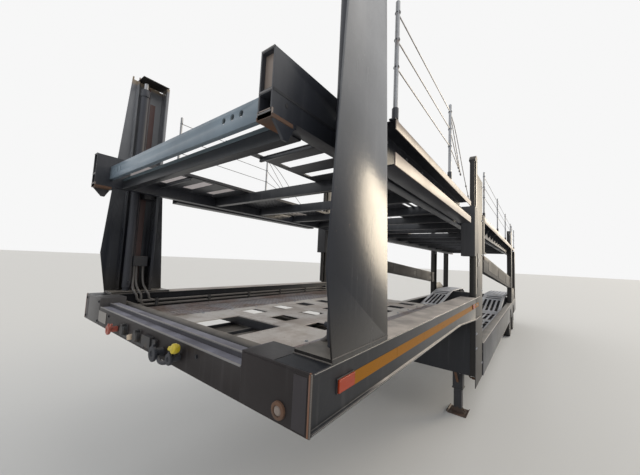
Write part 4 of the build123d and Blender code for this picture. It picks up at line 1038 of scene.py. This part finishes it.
def front_members():
    """The frame's cross members: the nose's lower flange is short, and the next member stands clear behind it.

    The member at the windows carries the runways only, so the middle of the deck is open there.
    """
    form = Form().add(merged("front_deck_members"))
    mesh = form.mesh
    for vert in mesh.verts:
        station, height = vert.co.y * 1000 + MIDDLE, vert.co.z * 1000
        if station < 60 and height < 2640:
            vert.co.z += 0.02
            if station > 20:
                vert.co.y -= 0.026
        elif 70 < station < 140:
            vert.co.y += 0.026
            vert.co.z += 0.018 if height > 2620 else -0.006
    first, last = SHORT_MEMBER_Y
    short = [v for v in mesh.verts if first - 5 < v.co.y * 1000 + MIDDLE < last + 5]
    bmesh.ops.delete(mesh, geom=short, context="VERTS")
    high = FRONT_FLOOR - 8
    for side in (1, -1):
        form.box(sorted((side * (DECK_RUNWAY_IN + 8), side * DECK_IN)), (last - 16, last), (high - 22, high))
    form.piece("front_cross_members", "nose", ("front_deck_members",), 2, "front_deck")
    # A thin strip on the second member, painted pale blue as the sky light along its top edge.
    one_box("second_member_painted_skylight", "skylit lip", (-DECK_IN, DECK_IN), (99, 101.5), (2655, 2679), 0.5, "front_deck")


def hand_rails(name, node, body, rows, base, reach=0):
    """Round poles in clamped feet, three wires through their eyes and the wires' end beads."""
    x = RAIL_X
    poles, wires, feet = Form(), Form(), Form()
    for row in rows:
        for y in row:
            poles.lathe([(0, 13), (POLE_HEIGHT - 6, 13), (POLE_HEIGHT, 8), (POLE_HEIGHT, 0)],
                        (x, y, base), (x, y, base + 900), 20)
            feet.box((x - 26, x + 13), (y - 24, y + 24), (base, base + 9))
            feet.lathe([(0, 19), (62, 19), (66, 16)], (x, y, base + 8), (x, y, base + 80), 20)
            for height in WIRE_HEIGHTS:
                feet.lathe([(0, 6), (8, 6), (8, 17), (18, 17), (18, 6), (26, 6)],
                           (x, y - 13, base + height), (x, y + 13, base + height), 14)
        for share, height in enumerate(WIRE_HEIGHTS):
            z = base + height
            wires.pipe([(x, row[0] - 8, z), (x, row[-1] + 8, z)], 4, 8)
            if reach:
                bead = Vector((x, row[-1] + reach + 53 * (share - 1), base + 224 - 20 * share))
                eye = Vector((x, row[-1], z))
                away = (bead - eye).normalized()
                wires.bar(eye, bead, 4, 8)
                wires.lathe(BEAD, bead - away * 14, bead + away * 14, 12)
    poles.mirror().piece(f"{name}_poles", "wire", (node,), 0, body)
    wires.mirror().piece(f"{name}_wires", "cable", (node,), 0, body)
    feet.mirror().piece(f"{name}_feet", "slate", (node,), 1, body)


def front_deck():
    """The front deck's members, runways, rails and the trim of its longerons."""
    front_members()
    front_runways()
    body = "front_deck"
    hand_rails("front_rail", "front_deck_rails", body, [(669, 1956)], WING_TOP, 428)
    bend = ((1956, 3494), (2110, 3440), (2292, 3323), (2561, 3106), (2739, 2976), (2935, 2850))
    anchor = Form().pipe(smooth_run([(RAIL_X, y, z) for y, z in bend]), 4, 8)
    for start, end in (((2733, 2980), (2757, 2964)), ((2868, 2893), (2892, 2877))):
        anchor.lathe(BEAD, (RAIL_X, *start), (RAIL_X, *end), 12)
    anchor.lathe([(0, 14), (6, 14), (9, 7), (22, 7)], (RAIL_X, 2938, WING_TOP), (RAIL_X, 2938, WING_TOP + 30), 16)
    anchor.mirror().piece("front_rail_last_wires", "cable", ("front_deck_rails",), 0, body)
    for part, material, x, y, z, soften in (
            ("rubbed_webs", "rubbed web", (DECK_IN - 2, DECK_IN), (150, 3600), (FRONT_FLOOR + 2, 2842), 0.4),
            ("seams", "underside", (DECK_OUT - 1, DECK_OUT + 1.5), (-96, 3670), (2672, 2684), 0),
            # The end webs and end lips take the tan of painted sunlight.
            ("end_webs", "sunlit tan web", (DECK_IN + 8, DECK_OUT - 8), (-80, -77), (2686, 2842), 0),
            ("end_tan_lips", "sunlit tan web", (DECK_IN - 2, DECK_OUT + 2), (-100, -92), (2578, 2604), 1),
            ("shoes", "rust", (DECK_IN - 6, DECK_OUT + 2), (-100, 20), (2566, 2584), 2)):
        side_boxes(f"longeron_{part}", material, x, y, z, soften, body)
    lips = Form()
    for z in (2592, 2678, 2850):
        lips.pipe([(DECK_IN + 3, -99, z), (DECK_OUT - 3, -99, z)], 4, 8)
    lips.mirror().piece("longeron_end_edges", "worn and highlit edge", body=body)
    plugs = Form().bar((DECK_OUT - 2, -22, 2643), (DECK_OUT + 1.5, -22, 2643), 9, 20)
    plugs.mirror().piece("longeron_side_plugs", "black", body=body)
    places = outward(1150, steps(800, 2900, 350), (2789,))
    places += [((x, 135, 2640), (0, 1, 0)) for x in (-900, -500, 500, 900)]
    bolts("front_deck_bolts", places, (1, 0, 0), 10, 8, body=body)


def rear_deck():
    """The rear deck's runways, rails, gussets under its wings and slats."""
    rear_runways()
    wings = ((4190, REAR_POST_Y[0] - 50), (REAR_POST_Y[1] + 50, TAIL_POST_Y[0] - 50))
    rows = [steps(y[0] + 20, y[1] - 20, 1890) for y in wings]
    hand_rails("rear_rail", "rear_deck_rails", "rear_deck", rows, REAR_WING_TOP)
    gusset = [(1150, 2822), (1262, 2822), (1262, 2790), (1156, 2640), (1150, 2640)]
    ribs = Form()
    for first, last in wings:
        for y in steps(first + 60, last - 60, 480):
            ribs.prism(gusset, "y", (y - 3, y + 3))
    ribs.mirror().piece("rear_wing_gussets", "slate", body="rear_deck")
    bars = BAR_ROW.grow("deck sheet", count=22, step=(0, 0.41, 0), bar=(2.0, 0.03, 0.03))
    slats = Form().add(bars, Matrix.Translation(spot(0, 3990, 2736)))
    slats.piece("rear_deck_slats", "underside", body="rear_deck")


cross_tube()
couplings()
beam_fittings()
sill_fittings()
neck_floor()
mast_fittings()
front_deck()
rear_deck()


# Wheels
def tyre_skin(out):
    """The closed outline of one tyre as (X, radius) points, without its tread blocks."""
    inner = out - TYRE_WIDTH
    half = [(-25, RIM_R), (-14, RIM_R + 3), (-8, RIM_R + 14), (-9, RIM_R + 18), (-3, RIM_R + 40),
            (0, TYRE_R - 92), (-2, TYRE_R - 62), (-6, TYRE_R - 38), (-8, TYRE_R - 36), (-12, TYRE_R - 20),
            (-24, TYRE_R - 12)]
    bottom = TYRE_R - 15
    grooves = []
    for share in (-0.28, 0.0, 0.28):
        x = out - TYRE_WIDTH / 2 + share * TYRE_WIDTH
        grooves += [(x - 7, TYRE_R - 9), (x - 5, bottom), (x + 5, bottom), (x + 7, TYRE_R - 9)]
    return [(inner - x, r) for x, r in half] + grooves + [(out + x, r) for x, r in half[::-1]]


def tread_rows(out):
    """Rows of blocks across one tyre: its station across, skew and size."""
    middle = out - TYRE_WIDTH / 2
    radius = (TYRE_R - 7.6) / 1000
    shoulder = dict(count=54, skew=0.0, block=(0.052, 0.014, 0.034), radius=radius)
    centre = dict(count=60, block=(0.05, 0.014, 0.031), radius=radius)
    kinds = (shoulder, dict(centre, skew=0.22), dict(centre, skew=-0.22), shoulder)
    return [dict(kind, across=(middle + share * TYRE_WIDTH) / 1000, phase=i * 0.37 / 60)
            for i, (share, kind) in enumerate(zip((-0.38, -0.14, 0.14, 0.38), kinds))]


def turned(profile, sides):
    """A mesh of (X, radius) points turned about the line across at the origin."""
    form = Form().ring(profile, (MIDDLE, 0), sides)
    bmesh.ops.recalc_face_normals(form.mesh, faces=form.mesh.faces[:])
    mesh = bpy.data.meshes.new("turned")
    form.mesh.to_mesh(mesh)
    return mesh


def wheel(i, y, side):
    """Twin tyres with tread blocks on their twin rims, with hand holes, nuts and a hub cap."""
    body = f"wheel_{i}_{side}"
    sign = 1 if side == "left" else -1
    place = Matrix.Translation(spot(0, y, TYRE_R)) @ Matrix.Diagonal((sign, 1, 1, 1))
    half = TYRE_WIDTH / 2 - 22
    well = [(half, RIM_R + 6), (half + 4, RIM_R + 2), (half - 2, RIM_R - 6), (half - 16, RIM_R - 10),
            (half - 50, RIM_R - 24), (-half + 50, RIM_R - 24), (-half + 16, RIM_R - 10), (-half + 2, RIM_R - 6),
            (-half - 4, RIM_R + 2), (-half, RIM_R + 6), (-half + 20, RIM_R - 2), (-half + 52, RIM_R - 14),
            (half - 52, RIM_R - 14), (half - 20, RIM_R - 2)]
    disc = [(0, 84), (0, 142), (20, 158), (46, 172), (60, RIM_R - 22), (60, RIM_R - 14), (68, RIM_R - 14),
            (68, RIM_R - 24), (54, 168), (28, 152), (9, 140), (9, 84)]
    tyres, rims = Form(), Form()
    for out, way in ((WHEEL_OUT, 1), (WHEEL_OUT - TWIN_PITCH, -1)):
        tyres.add(turned(tyre_skin(out), 96), place)
        for row in tread_rows(out):
            tyres.add(TREAD.grow("rubber", **row), place)
        rims.add(turned([(out - TYRE_WIDTH / 2 + way * x, r) for x, r in well], 72), place)
        face = DISC_X + way * 7
        holed = HAND_HOLES.grow("rim", turned([(face + way * x, r) for x, r in disc], 72), count=10, radius=0.163,
                                across=(face + way * 30) / 1000, phase=0.0, hole=0.019)
        rims.add(holed, place)
    tyres.piece(f"tyres_{i}_{side}_tread", "rubber", (f"tyres_{i}_{side}",), 0, body)
    rims.piece(f"rims_{i}_{side}_discs", "rim", (f"rims_{i}_{side}",), 1, body)
    hub = Form()
    hub.lathe([(0, 58), (20, 96), (110, 96), (116, 82), (196, 80), (204, 74), (228, 70), (236, 58), (238, 0)],
              (sign * (DISC_X - 96), y, TYRE_R), (sign * WHEEL_OUT, y, TYRE_R), 48)
    for k in range(10):
        turn = 2 * math.pi * (k + 0.5) / 10
        at = (y + 112 * math.cos(turn), TYRE_R + 112 * math.sin(turn))
        hub.bar((sign * (DISC_X - 14), *at), (sign * (DISC_X + 44), *at), 9, 10)
        hub.lathe([(0, 18), (3, 18), (3, 15), (24, 14), (27, 11)],
                  (sign * (DISC_X + 16), *at), (sign * (DISC_X + 50), *at), 6)
    for k in range(6):
        turn = 2 * math.pi * k / 6
        at = (y + 66 * math.cos(turn), TYRE_R + 66 * math.sin(turn))
        hub.bar((sign * (DISC_X + 100), *at), (sign * (DISC_X + 138), *at), 6, 6)
    hub.piece(f"hub_{i}_{side}", "underside", (), 1, body)


for i, y in enumerate(AXLES_Y, 1):
    for side in ("left", "right"):
        wheel(i, y, side)


# Mid masts and posts
def mid_mast_fittings():
    """Caps, strips of painted sunlight, plates, knobs, bolts and welds of the mid masts."""
    front, rear = MID_MAST_Y
    out = SILL_WEB_OUT
    caps = Form().prism([(front - 55, 3478), (front - 58, 3496), (front - 20, 3540), (front + 20, 3568),
                         (front + 60, 3576), (front + 96, 3570), (front + 111, 3552), (front + 111, 3478)],
                        "x", (1184, out + 0.5))
    caps.mirror().piece("mid_mast_caps", "post", (), 3)
    # Bright cream strips on the mid masts' outer faces are painted sunlight.
    side_boxes("mid_mast_painted_sun_strips", "painted sun band", (out, out + 1.5), (front + 4, front + 46), (1700, 3470), 0.5)
    plates = Form().box((out, out + 5), (front + 130, front + 330), (2060, 2240))
    plates.box((out, out + 4), (front + 150, front + 260), (1780, 1900))
    plates.mirror().piece("mid_mast_plates", "sill", (), 1.5)
    knobs = Form().lathe([(0, 14), (10, 14), (12, 22), (13, 22), (13, 0)],
                         (out, front + 230, 2150), (out + 28, front + 230, 2150), 20)
    knobs.mirror().piece("mid_mast_knobs", "zinc")
    places = outward(out, (front + 30, front + 80), steps(1000, 1560, 190))
    places += outward(out, (rear - 80, rear - 30), steps(700, 3250, 510))
    bolts("mid_mast_bolts", places, (1, 0, 0), 10, 8)
    lines = [[(out - 9, y, 1700), (out - 9, y, 3330)] for y in (front + 110, rear - 110)]
    lines.append([(out + 2, front + 2, SILL_TOP + 2), (out + 2, front + 310, SILL_TOP + 2)])
    weld("mid_mast_welds", lines, 4)


def rear_post_fittings():
    """Bolts, ribs and welds of the rear and tail posts."""
    places = outward(SILL_WEB_OUT + 2, ARM_PIVOT[:1], ARM_PIVOT[1:])
    ribs = Form()
    for y0, y1 in (REAR_POST_Y, TAIL_POST_Y):
        places += outward(HALF - 1, (y0 + 40, y1 - 40), (1010, 1090))
        ribs.prism([(1160, y0 + 12), (1254, y0 + 12), (1254, y1 - 12), (1160, y1 - 12), (1160, y1 - 20),
                    (1230, y1 - 60), (1230, y0 + 60), (1160, y0 + 20)], "z", (1500, 1508))
    bolts("rear_post_bolts", places, (1, 0, 0), 9, 8)
    ribs.mirror().piece("rear_post_ribs", "post")
    weld("rear_post_welds", [[(HALF + 1, y, LOW_TOP + 3), (HALF + 1, y + 300, LOW_TOP + 3)]
                             for y in (REAR_POST_Y[0] + 30, TAIL_POST_Y[0] + 20)], 5)


# Lift arms
ARM_PIVOT = (REAR_POST_Y[0] - 190, 1640)
ARM_TIP = (MID_MAST_Y[1] + 270, 2200)
ARM_ROOT = 350
ARM_END = 260


def arm_fittings(side, name):
    """Stiffening plates, pivot boss and tip roller of one lift arm."""
    body = f"arm_{name}"
    run, rise = ARM_PIVOT[0] - ARM_TIP[0], ARM_TIP[1] - ARM_PIVOT[1]
    middle = (1155 + HALF - 12) / 2
    plates, bosses = Form(), Form()
    for share0, share1 in ((0.06, 0.3), (0.34, 0.62), (0.66, 0.9)):
        line = []
        for share, edge in ((share0, 1), (share1, 1), (share1, -1), (share0, -1)):
            half = (ARM_ROOT / 2 * (1 - share) + ARM_END / 2 * share) - 46
            centre = ARM_PIVOT[1] + (rise - 60) * share
            line.append((ARM_PIVOT[0] - run * share, centre + edge * half))
        for face in (middle - 37, middle + 37):
            plates.prism(line, "x", sorted((side * (face - 4), side * (face + 4))))
    plates.piece(f"arm_{name}_plates", "arm", (), 2, body)
    for face, way in ((middle - 37, -1), (middle + 37, 1)):
        for profile, place, sides in (([(0, 92), (5, 92), (8, 88), (8, 34)], ARM_PIVOT, 36),
                                      ([(0, 30), (7, 30), (10, 26), (10, 0)], ARM_TIP, 24)):
            bosses.lathe(profile, (side * face, *place), (side * (face + way * 20), *place), sides)
    bosses.piece(f"arm_{name}_bosses", "rust", body=body)


# Landing legs
def landing_gear():
    """Telescopic legs on rocking feet, with their gear boxes, cross shaft, braces and crank."""
    x, y = LEG_PLACE
    legs, feet, gears = Form(), Form(), Form()
    for half, z in ((65, (330, 877)), (52, (70, 332)), (72, (330, 352))):
        legs.box((x - half, x + half), (y - half, y + half), z)
    legs.box((x - 65, x + 65), (y + 63, y + 80), (652, 772))
    pan = [(-130, 26), (-118, 0), (118, 0), (130, 26), (122, 26), (112, 9), (-112, 9), (-122, 26)]
    feet.prism([(x + a, z) for a, z in pan], "y", (y - 130, y + 130))
    for near in (y - 34, y + 26):
        feet.prism([(x - 90, 8), (x + 90, 8), (x + 34, 92), (x - 34, 92)], "y", (near, near + 8))
    feet.bar((x, y - 62, 74), (x, y + 62, 74), 14, 20)
    gears.prism([(y - 58, 600), (y + 58, 600), (y + 58, 720), (y + 26, 770), (y - 26, 770), (y - 58, 720)],
                "x", (x - 161, x - 65))
    gears.lathe([(0, 40), (14, 40), (16, 34), (24, 30)], (x - 161, y, 690), (x - 215, y, 690), 28)
    gears.prism([(y - 67, 420), (y - 67, 452), (y - 240, 660), (y - 266, 640)], "x", (x - 14, x + 14))
    gears.mirror()
    legs.mirror().piece("legs_tubes", "underside", ("landing_legs",), 5)
    feet.mirror().piece("legs_feet", "rust", (), 2)
    gears.bar((-x + 168, y, 690), (x - 168, y, 690), 14, 20)
    gears.pipe([(x + 64, y, 690), (x + 120, y, 690), (x + 132, y + 6, 682), (x + 136, y + 26, 520),
                (x + 146, y + 30, 500), (x + 228, y + 30, 498)], 11, 14)
    gears.bar((x + 168, y + 30, 498), (x + 246, y + 30, 498), 17, 20)
    gears.piece("legs_gears", "rust", (), 2)
    spots = [((side * across, y - 65, z), (0, -1, 0)) for side in (1, -1) for across in (x - 30, x + 30)
             for z in (560, 640, 720)]
    bolts("legs_bolts", spots + outward(x - 161, (y - 40, y + 40), (620, 712), -1), (0, -1, 0), 9, 8)


# Running gear
ARC = [(math.cos(turn), math.sin(turn)) for turn in (math.radians(24.6 + 130.8 * k / 28) for k in range(29))]


def axle_beam(form, y):
    """One end of an axle, with its flange, back plate and stub."""
    form.lathe([(0, 63), (12, 84), (22, 84), (24, 156), (32, 156), (34, 70), (60, 58), (450, 40), (452, 0)],
               (HUB_IN - 40, y, TYRE_R), (WHEEL_OUT, y, TYRE_R), 40)


def trailing_arm(form, x, y):
    """Hanger, pivot, leaf arm, and the axle's seat with its U-bolts."""
    hanger = [(y - 566, 612), (y - 434, 612), (y - 440, 470), (y - 456, 338), (y - 544, 338), (y - 560, 470)]
    for dx in (-50, 42):
        form.prism(hanger, "x", (x + dx, x + dx + 8))
    form.prism([(y - 560, 600), (y - 440, 600), (y - 440, 612), (y - 560, 612)], "x", (x - 50, x + 50))
    form.bar((x - 60, y - 500, 372), (x + 60, y - 500, 372), 34, 28)
    form.prism([(y - 500, 404), (y - 440, 392), (y - 130, 346), (y + 130, 336), (y + 400, 331), (y + 424, 322),
                (y + 424, 300), (y + 400, 292), (y + 120, 284), (y - 130, 288), (y - 440, 336), (y - 500, 340)],
               "x", (x - 40, x + 40))
    form.box((x - 52, x + 52), (y - 90, y + 90), (264, 286))
    form.box((x - 52, x + 52), (y - 84, y + 84), (456, 478))
    for dy in (-72, 72):
        for dx in (-46, 46):
            form.bar((x + dx, y + dy, 246), (x + dx, y + dy, 496), 9, 12)


def brake_chamber(form, x, y):
    """Shock absorber, brake chamber with its rod, and the lever's shaft and arm."""
    low, high = Vector((x + 66, y + 110, 420)), Vector((x + 66, y - 240, 640))
    form.bar(low, low.lerp(high, 0.62), 34, 24)
    form.bar(low, high, 24, 20)
    form.lathe([(0, 20), (6, 62), (50, 84), (60, 92), (72, 92), (82, 84), (120, 80), (140, 62), (146, 20)],
               (470, y - 250, 470), (470, y - 60, 470), 36)
    form.bar((470, y - 110, 470), (470, y + 20, 470), 9, 12)
    form.bar((500, y + 96, 440), (HUB_IN - 10, y + 96, 440), 19, 20)
    form.prism([(y + 2, 488), (y + 34, 488), (y + 118, 456), (y + 118, 424), (y + 80, 424)], "x", (462, 480))


def mudguard(shell, pads, y):
    """An arched guard with rolled rims, on three round stays and a bracket."""
    def arch(r):
        return [(y + r * c, TYRE_R + r * s) for c, s in ARC]

    shell.prism(arch(432) + arch(427)[::-1], "x", (HUB_IN, HALF - 13))
    for edge in (HUB_IN + 4, HALF - 17):
        shell.pipe([(edge, *place) for place in arch(430)], 8, 10)
    for k in (5, 14, 23):
        place = arch(440)[k]
        pads.bar((HUB_IN - 90, *place), (HALF - 60, *place), 14, 16)
    pads.box((HALF - 72, HALF - 12), (y - 20, y + 20), (TYRE_R + 428, LOW_TOP - 12))


def running_gear():
    """Axle beams with back plates, trailing arms, air bellows, brake chambers, mudguards and mud flaps."""
    beams, arms, bellows, chambers, shells, pads, flaps = (Form() for _ in range(7))
    x = SPRING_X
    bell = [(0, 66), (70, 84), (80, 92), (100, 104), (122, 118), (146, 120), (164, 108), (172, 100), (180, 108),
            (202, 120), (230, 118), (252, 106), (264, 78), (270, 60), (276, 60)]
    for y in AXLES_Y:
        axle_beam(beams, y)
        trailing_arm(arms, x, y)
        bellows.lathe(bell, (x, y + 320, 336), (x, y + 320, 612), 48)
        brake_chamber(chambers, x, y)
        mudguard(shells, pads, y)
    for form in (beams, arms, bellows, chambers, shells, pads):
        form.mirror()
    for y in AXLES_Y:
        beams.bar((-HUB_IN + 4, y, TYRE_R), (HUB_IN - 4, y, TYRE_R), 63, 40)
        for side in (x, -x):
            arms.lathe([(0, 20), (14, 20)], (side + 60, y - 500, 372), (side + 80, y - 500, 372), 6)
    beams.piece("axle_beams", "underside", ("axles",))
    arms.piece("trailing_arms", "underside", ("suspension",), 3)
    bellows.piece("air_bellows", "rubber")
    chambers.piece("brake_chambers", "black")
    shells.piece("mudguard_shells", "black", ("mudguards",))
    pads.piece("mudguard_brackets", "underside", (), 1)
    y = AXLES_Y[1] + 432
    near, far = HUB_IN + 6, HALF - 15
    flaps.prism([(y - 8, 600), (y + 2, 600), (y + 10, 240), (y + 2, 240)], "x", (near, far))
    for k in range(5):
        z = 300 + 56 * k
        flaps.box((near + 30, far - 30), (y - 2, y + 11 - 1.3 * k), (z, z + 10))
    flaps.mirror().piece("mud_flaps", "rubber", (), 2)


def wheel_drums():
    """Brake drums, which turn with their wheels."""
    profile = [(16, 164), (16, 180), (30, 184), (150, 184), (158, 176), (188, 168), (224, 120), (224, 96),
               (180, 150), (160, 164)]
    for i, y in enumerate(AXLES_Y, 1):
        for name, side in (("left", 1), ("right", -1)):
            drum = Form().ring([(side * (HUB_IN + a), r) for a, r in profile], (y, TYRE_R), 64)
            drum.piece(f"brake_drum_{i}_{name}", "rust", body=f"wheel_{i}_{name}")


# Tanks and tail
def air_tanks():
    """Two domed tanks with drain cocks, straps and pipes."""
    tanks, straps = Form(), Form()
    x, y0, z0 = 300, TAIL - 4450, 600
    dome = [(0, 0), (3, 40), (14, 78), (32, 106), (52, 116), (60, 118)]
    tanks.lathe(dome + [(750 - along, r) for along, r in dome[::-1]], (x, y0, z0), (x, y0 + 750, z0), 48)
    tanks.lathe([(0, 18), (16, 18), (16, 10), (30, 10)], (x, y0 + 375, 486), (x, y0 + 375, 450), 16)
    for y in (y0 + 112, y0 + 622):
        straps.lathe([(0, 121), (34, 121)], (x, y, z0), (x, y + 40, z0), 48)
        straps.box((x, 540), (y + 8, y + 16), (540, 660))
        straps.box((532, 540), (y - 6, y + 40), (630, 700))
    for z, run in ((648, 60), (560, 40)):
        route = [(x, y0 + 4, z), (x, y0 - run, z), (x + 30, y0 - run - 40, z + 10),
                 (x + 160, y0 - run - 60, z + 40), (SPRING_X, y0 - run - 70, 640 + run / 2)]
        straps.pipe(smooth_run(route), 8, 12)
    tanks.mirror().piece("tanks_domed", "mast", ("air_tanks",))
    straps.mirror().piece("tank_straps", "underside")


def tail():
    """Tail lamps in their cases, and the bolts of the tail's cross member."""
    case = [(LOW_TAIL, 684), (TAIL - 14, 684), (TAIL - 8, 692), (TAIL - 8, 812), (TAIL - 14, 820),
            (LOW_TAIL, 820)]
    glass = [(TAIL - 9, 694), (TAIL - 3, 698), (TAIL, 706), (TAIL, 798), (TAIL - 3, 806), (TAIL - 9, 810)]
    for name, material, outline, x, nodes, soften in (
            ("cases", "black", case, (820, 1180), ("tail_lamps",), 3),
            ("reds", "tail red", glass, (828, 960), (), 1.5),
            ("ambers", "amber", glass, (1026, 1172), (), 1.5),
            ("whites", "clear lens", glass, (966, 1020), (), 1.5)):
        Form().prism(outline, "x", x).mirror().piece(f"tail_lamp_{name}", material, nodes, soften)
    places = [(x, LOW_TAIL, z) for x in (-1240, -1210, 1210, 1240) for z in (560, 880)]
    bolts("tail_bolts", places, (0, 1, 0), 10, 8)


# Low deck
def low_runways():
    """The frame's low runways, with long slots and two cross slots cut through their rise."""
    mesh = merged("low_runways")
    for side in (1, -1):
        lanes, rise = spot(side * 805 - 180, TAIL - 3560, 1000), spot(side * 805, TAIL - 2860, 1100)
        mesh = CUT_ROW.grow("zinc", mesh, count=4, step=(0.12, 0, 0), bar=(0.068, 1.08, 0.6), place=tuple(lanes))
        mesh = CUT_ROW.grow("zinc", mesh, count=2, step=(0, 0.2, 0), bar=(0.43, 0.085, 0.6), place=tuple(rise))
    finished(mesh, "low_runways_slotted", "zinc", ("low_runways",), 1.5)


def low_deck_edges():
    """Worn lips of the low longerons and the studs of the raised floor."""
    start = MID_MAST_Y[1] + 4
    edge = Form().pipe([(HALF - 4, start, LOW_TOP - 3), (HALF - 4, LOW_TAIL - 4, LOW_TOP - 3)], 5, 8)
    edge.pipe([(HALF - 3, start, 514), (HALF - 3, AXLES_Y[0] - 440, 514)], 4.5, 8)
    edge.mirror().piece("low_deck_lip_edges", "worn and highlit edge")
    places = [(side * x, y, 1193) for side in (1, -1) for x in steps(540, 1060, 104)
              for y in steps(TAIL - 2300, TAIL - 720, 72)]
    bolts("raised_floor_studs", places, (0, 0, 1), 11, 5, sides=8)


mid_mast_fittings()
rear_post_fittings()
arm_fittings(1, "left")
arm_fittings(-1, "right")
landing_gear()
running_gear()
wheel_drums()
air_tanks()
tail()
low_runways()
low_deck_edges()


# Stage, lamps and camera
def stage_floor():
    """A wide pale floor under the wheels."""
    bpy.ops.mesh.primitive_plane_add(size=400)
    floor = bpy.context.object
    floor.name = "floor"
    g = Graph("pale floor")
    floor.data.materials.append(g.finish(rgb(0.62, 0.62, 0.61), 0.9))


def sun(name, place, aim, energy, colour, angle):
    """A far lamp in the direction of a place, shining towards its aim."""
    data = bpy.data.lights.new(name, "SUN")
    data.energy = energy
    data.color = colour
    data.angle = angle
    holder = bpy.data.objects.new(name, data)
    bpy.context.scene.collection.objects.link(holder)
    holder.location = place
    holder.rotation_euler = (Vector(aim) - Vector(place)).to_track_quat("-Z", "Y").to_euler()


SKY_SEEN = 0.93
SKY_LIGHT = 0.7


def world_light():
    """A white sky that looks brighter to the camera and in reflections than it lights."""
    world = bpy.data.worlds.new("studio")
    bpy.context.scene.world = world
    world.use_nodes = True
    tree = world.node_tree
    back = tree.nodes["Background"]
    back.inputs["Color"].default_value = rgb(1.0, 1.0, 1.0)
    path = tree.nodes.new("ShaderNodeLightPath")
    seen = tree.nodes.new("ShaderNodeMath")
    seen.operation = "MAXIMUM"
    tree.links.new(path.outputs["Is Camera Ray"], seen.inputs[0])
    tree.links.new(path.outputs["Is Glossy Ray"], seen.inputs[1])
    level = tree.nodes.new("ShaderNodeMapRange")
    level.inputs[3].default_value = SKY_LIGHT
    level.inputs[4].default_value = SKY_SEEN
    tree.links.new(seen.outputs[0], level.inputs[0])
    tree.links.new(level.outputs[0], back.inputs["Strength"])


stage_floor()
world_light()
sun("low key from behind the trailer's left side", (4.7, 8.7, 2.1), (0, 0, 0), 1.5, (1.0, 0.86, 0.66), 0.36)
sun("soft top light", (6, 3, 9), (0, 0, 0), 0.6, (1.0, 0.96, 0.9), 0.9)
sun("front fill", (2, -12, 9), (0, 0, 1.5), 0.3, (0.86, 0.93, 1.0), 0.9)

LENS_MM = 15.8313
EYE = spot(1873.7, -777.5, 2039.0)
SIGHT = Vector((-0.60477, 0.79215, 0.08216))
SKY = Vector((0.01176, -0.09427, 0.99548))


def photo_camera():
    """The camera that took the photograph."""
    data = bpy.data.cameras.new("photo camera")
    data.lens = LENS_MM
    data.sensor_width = 36
    data.clip_start = 0.05
    data.clip_end = 300
    holder = bpy.data.objects.new("photo camera", data)
    bpy.context.scene.collection.objects.link(holder)
    back = -SIGHT.normalized()
    right = SKY.cross(back).normalized()
    turn = Matrix((right, back.cross(right), back)).transposed()
    holder.matrix_world = Matrix.Translation(EYE) @ turn.to_4x4()
    bpy.context.scene.camera = holder


photo_camera()
bpy.context.scene.view_settings.view_transform = "Standard"

bpy.context.view_layer.update()
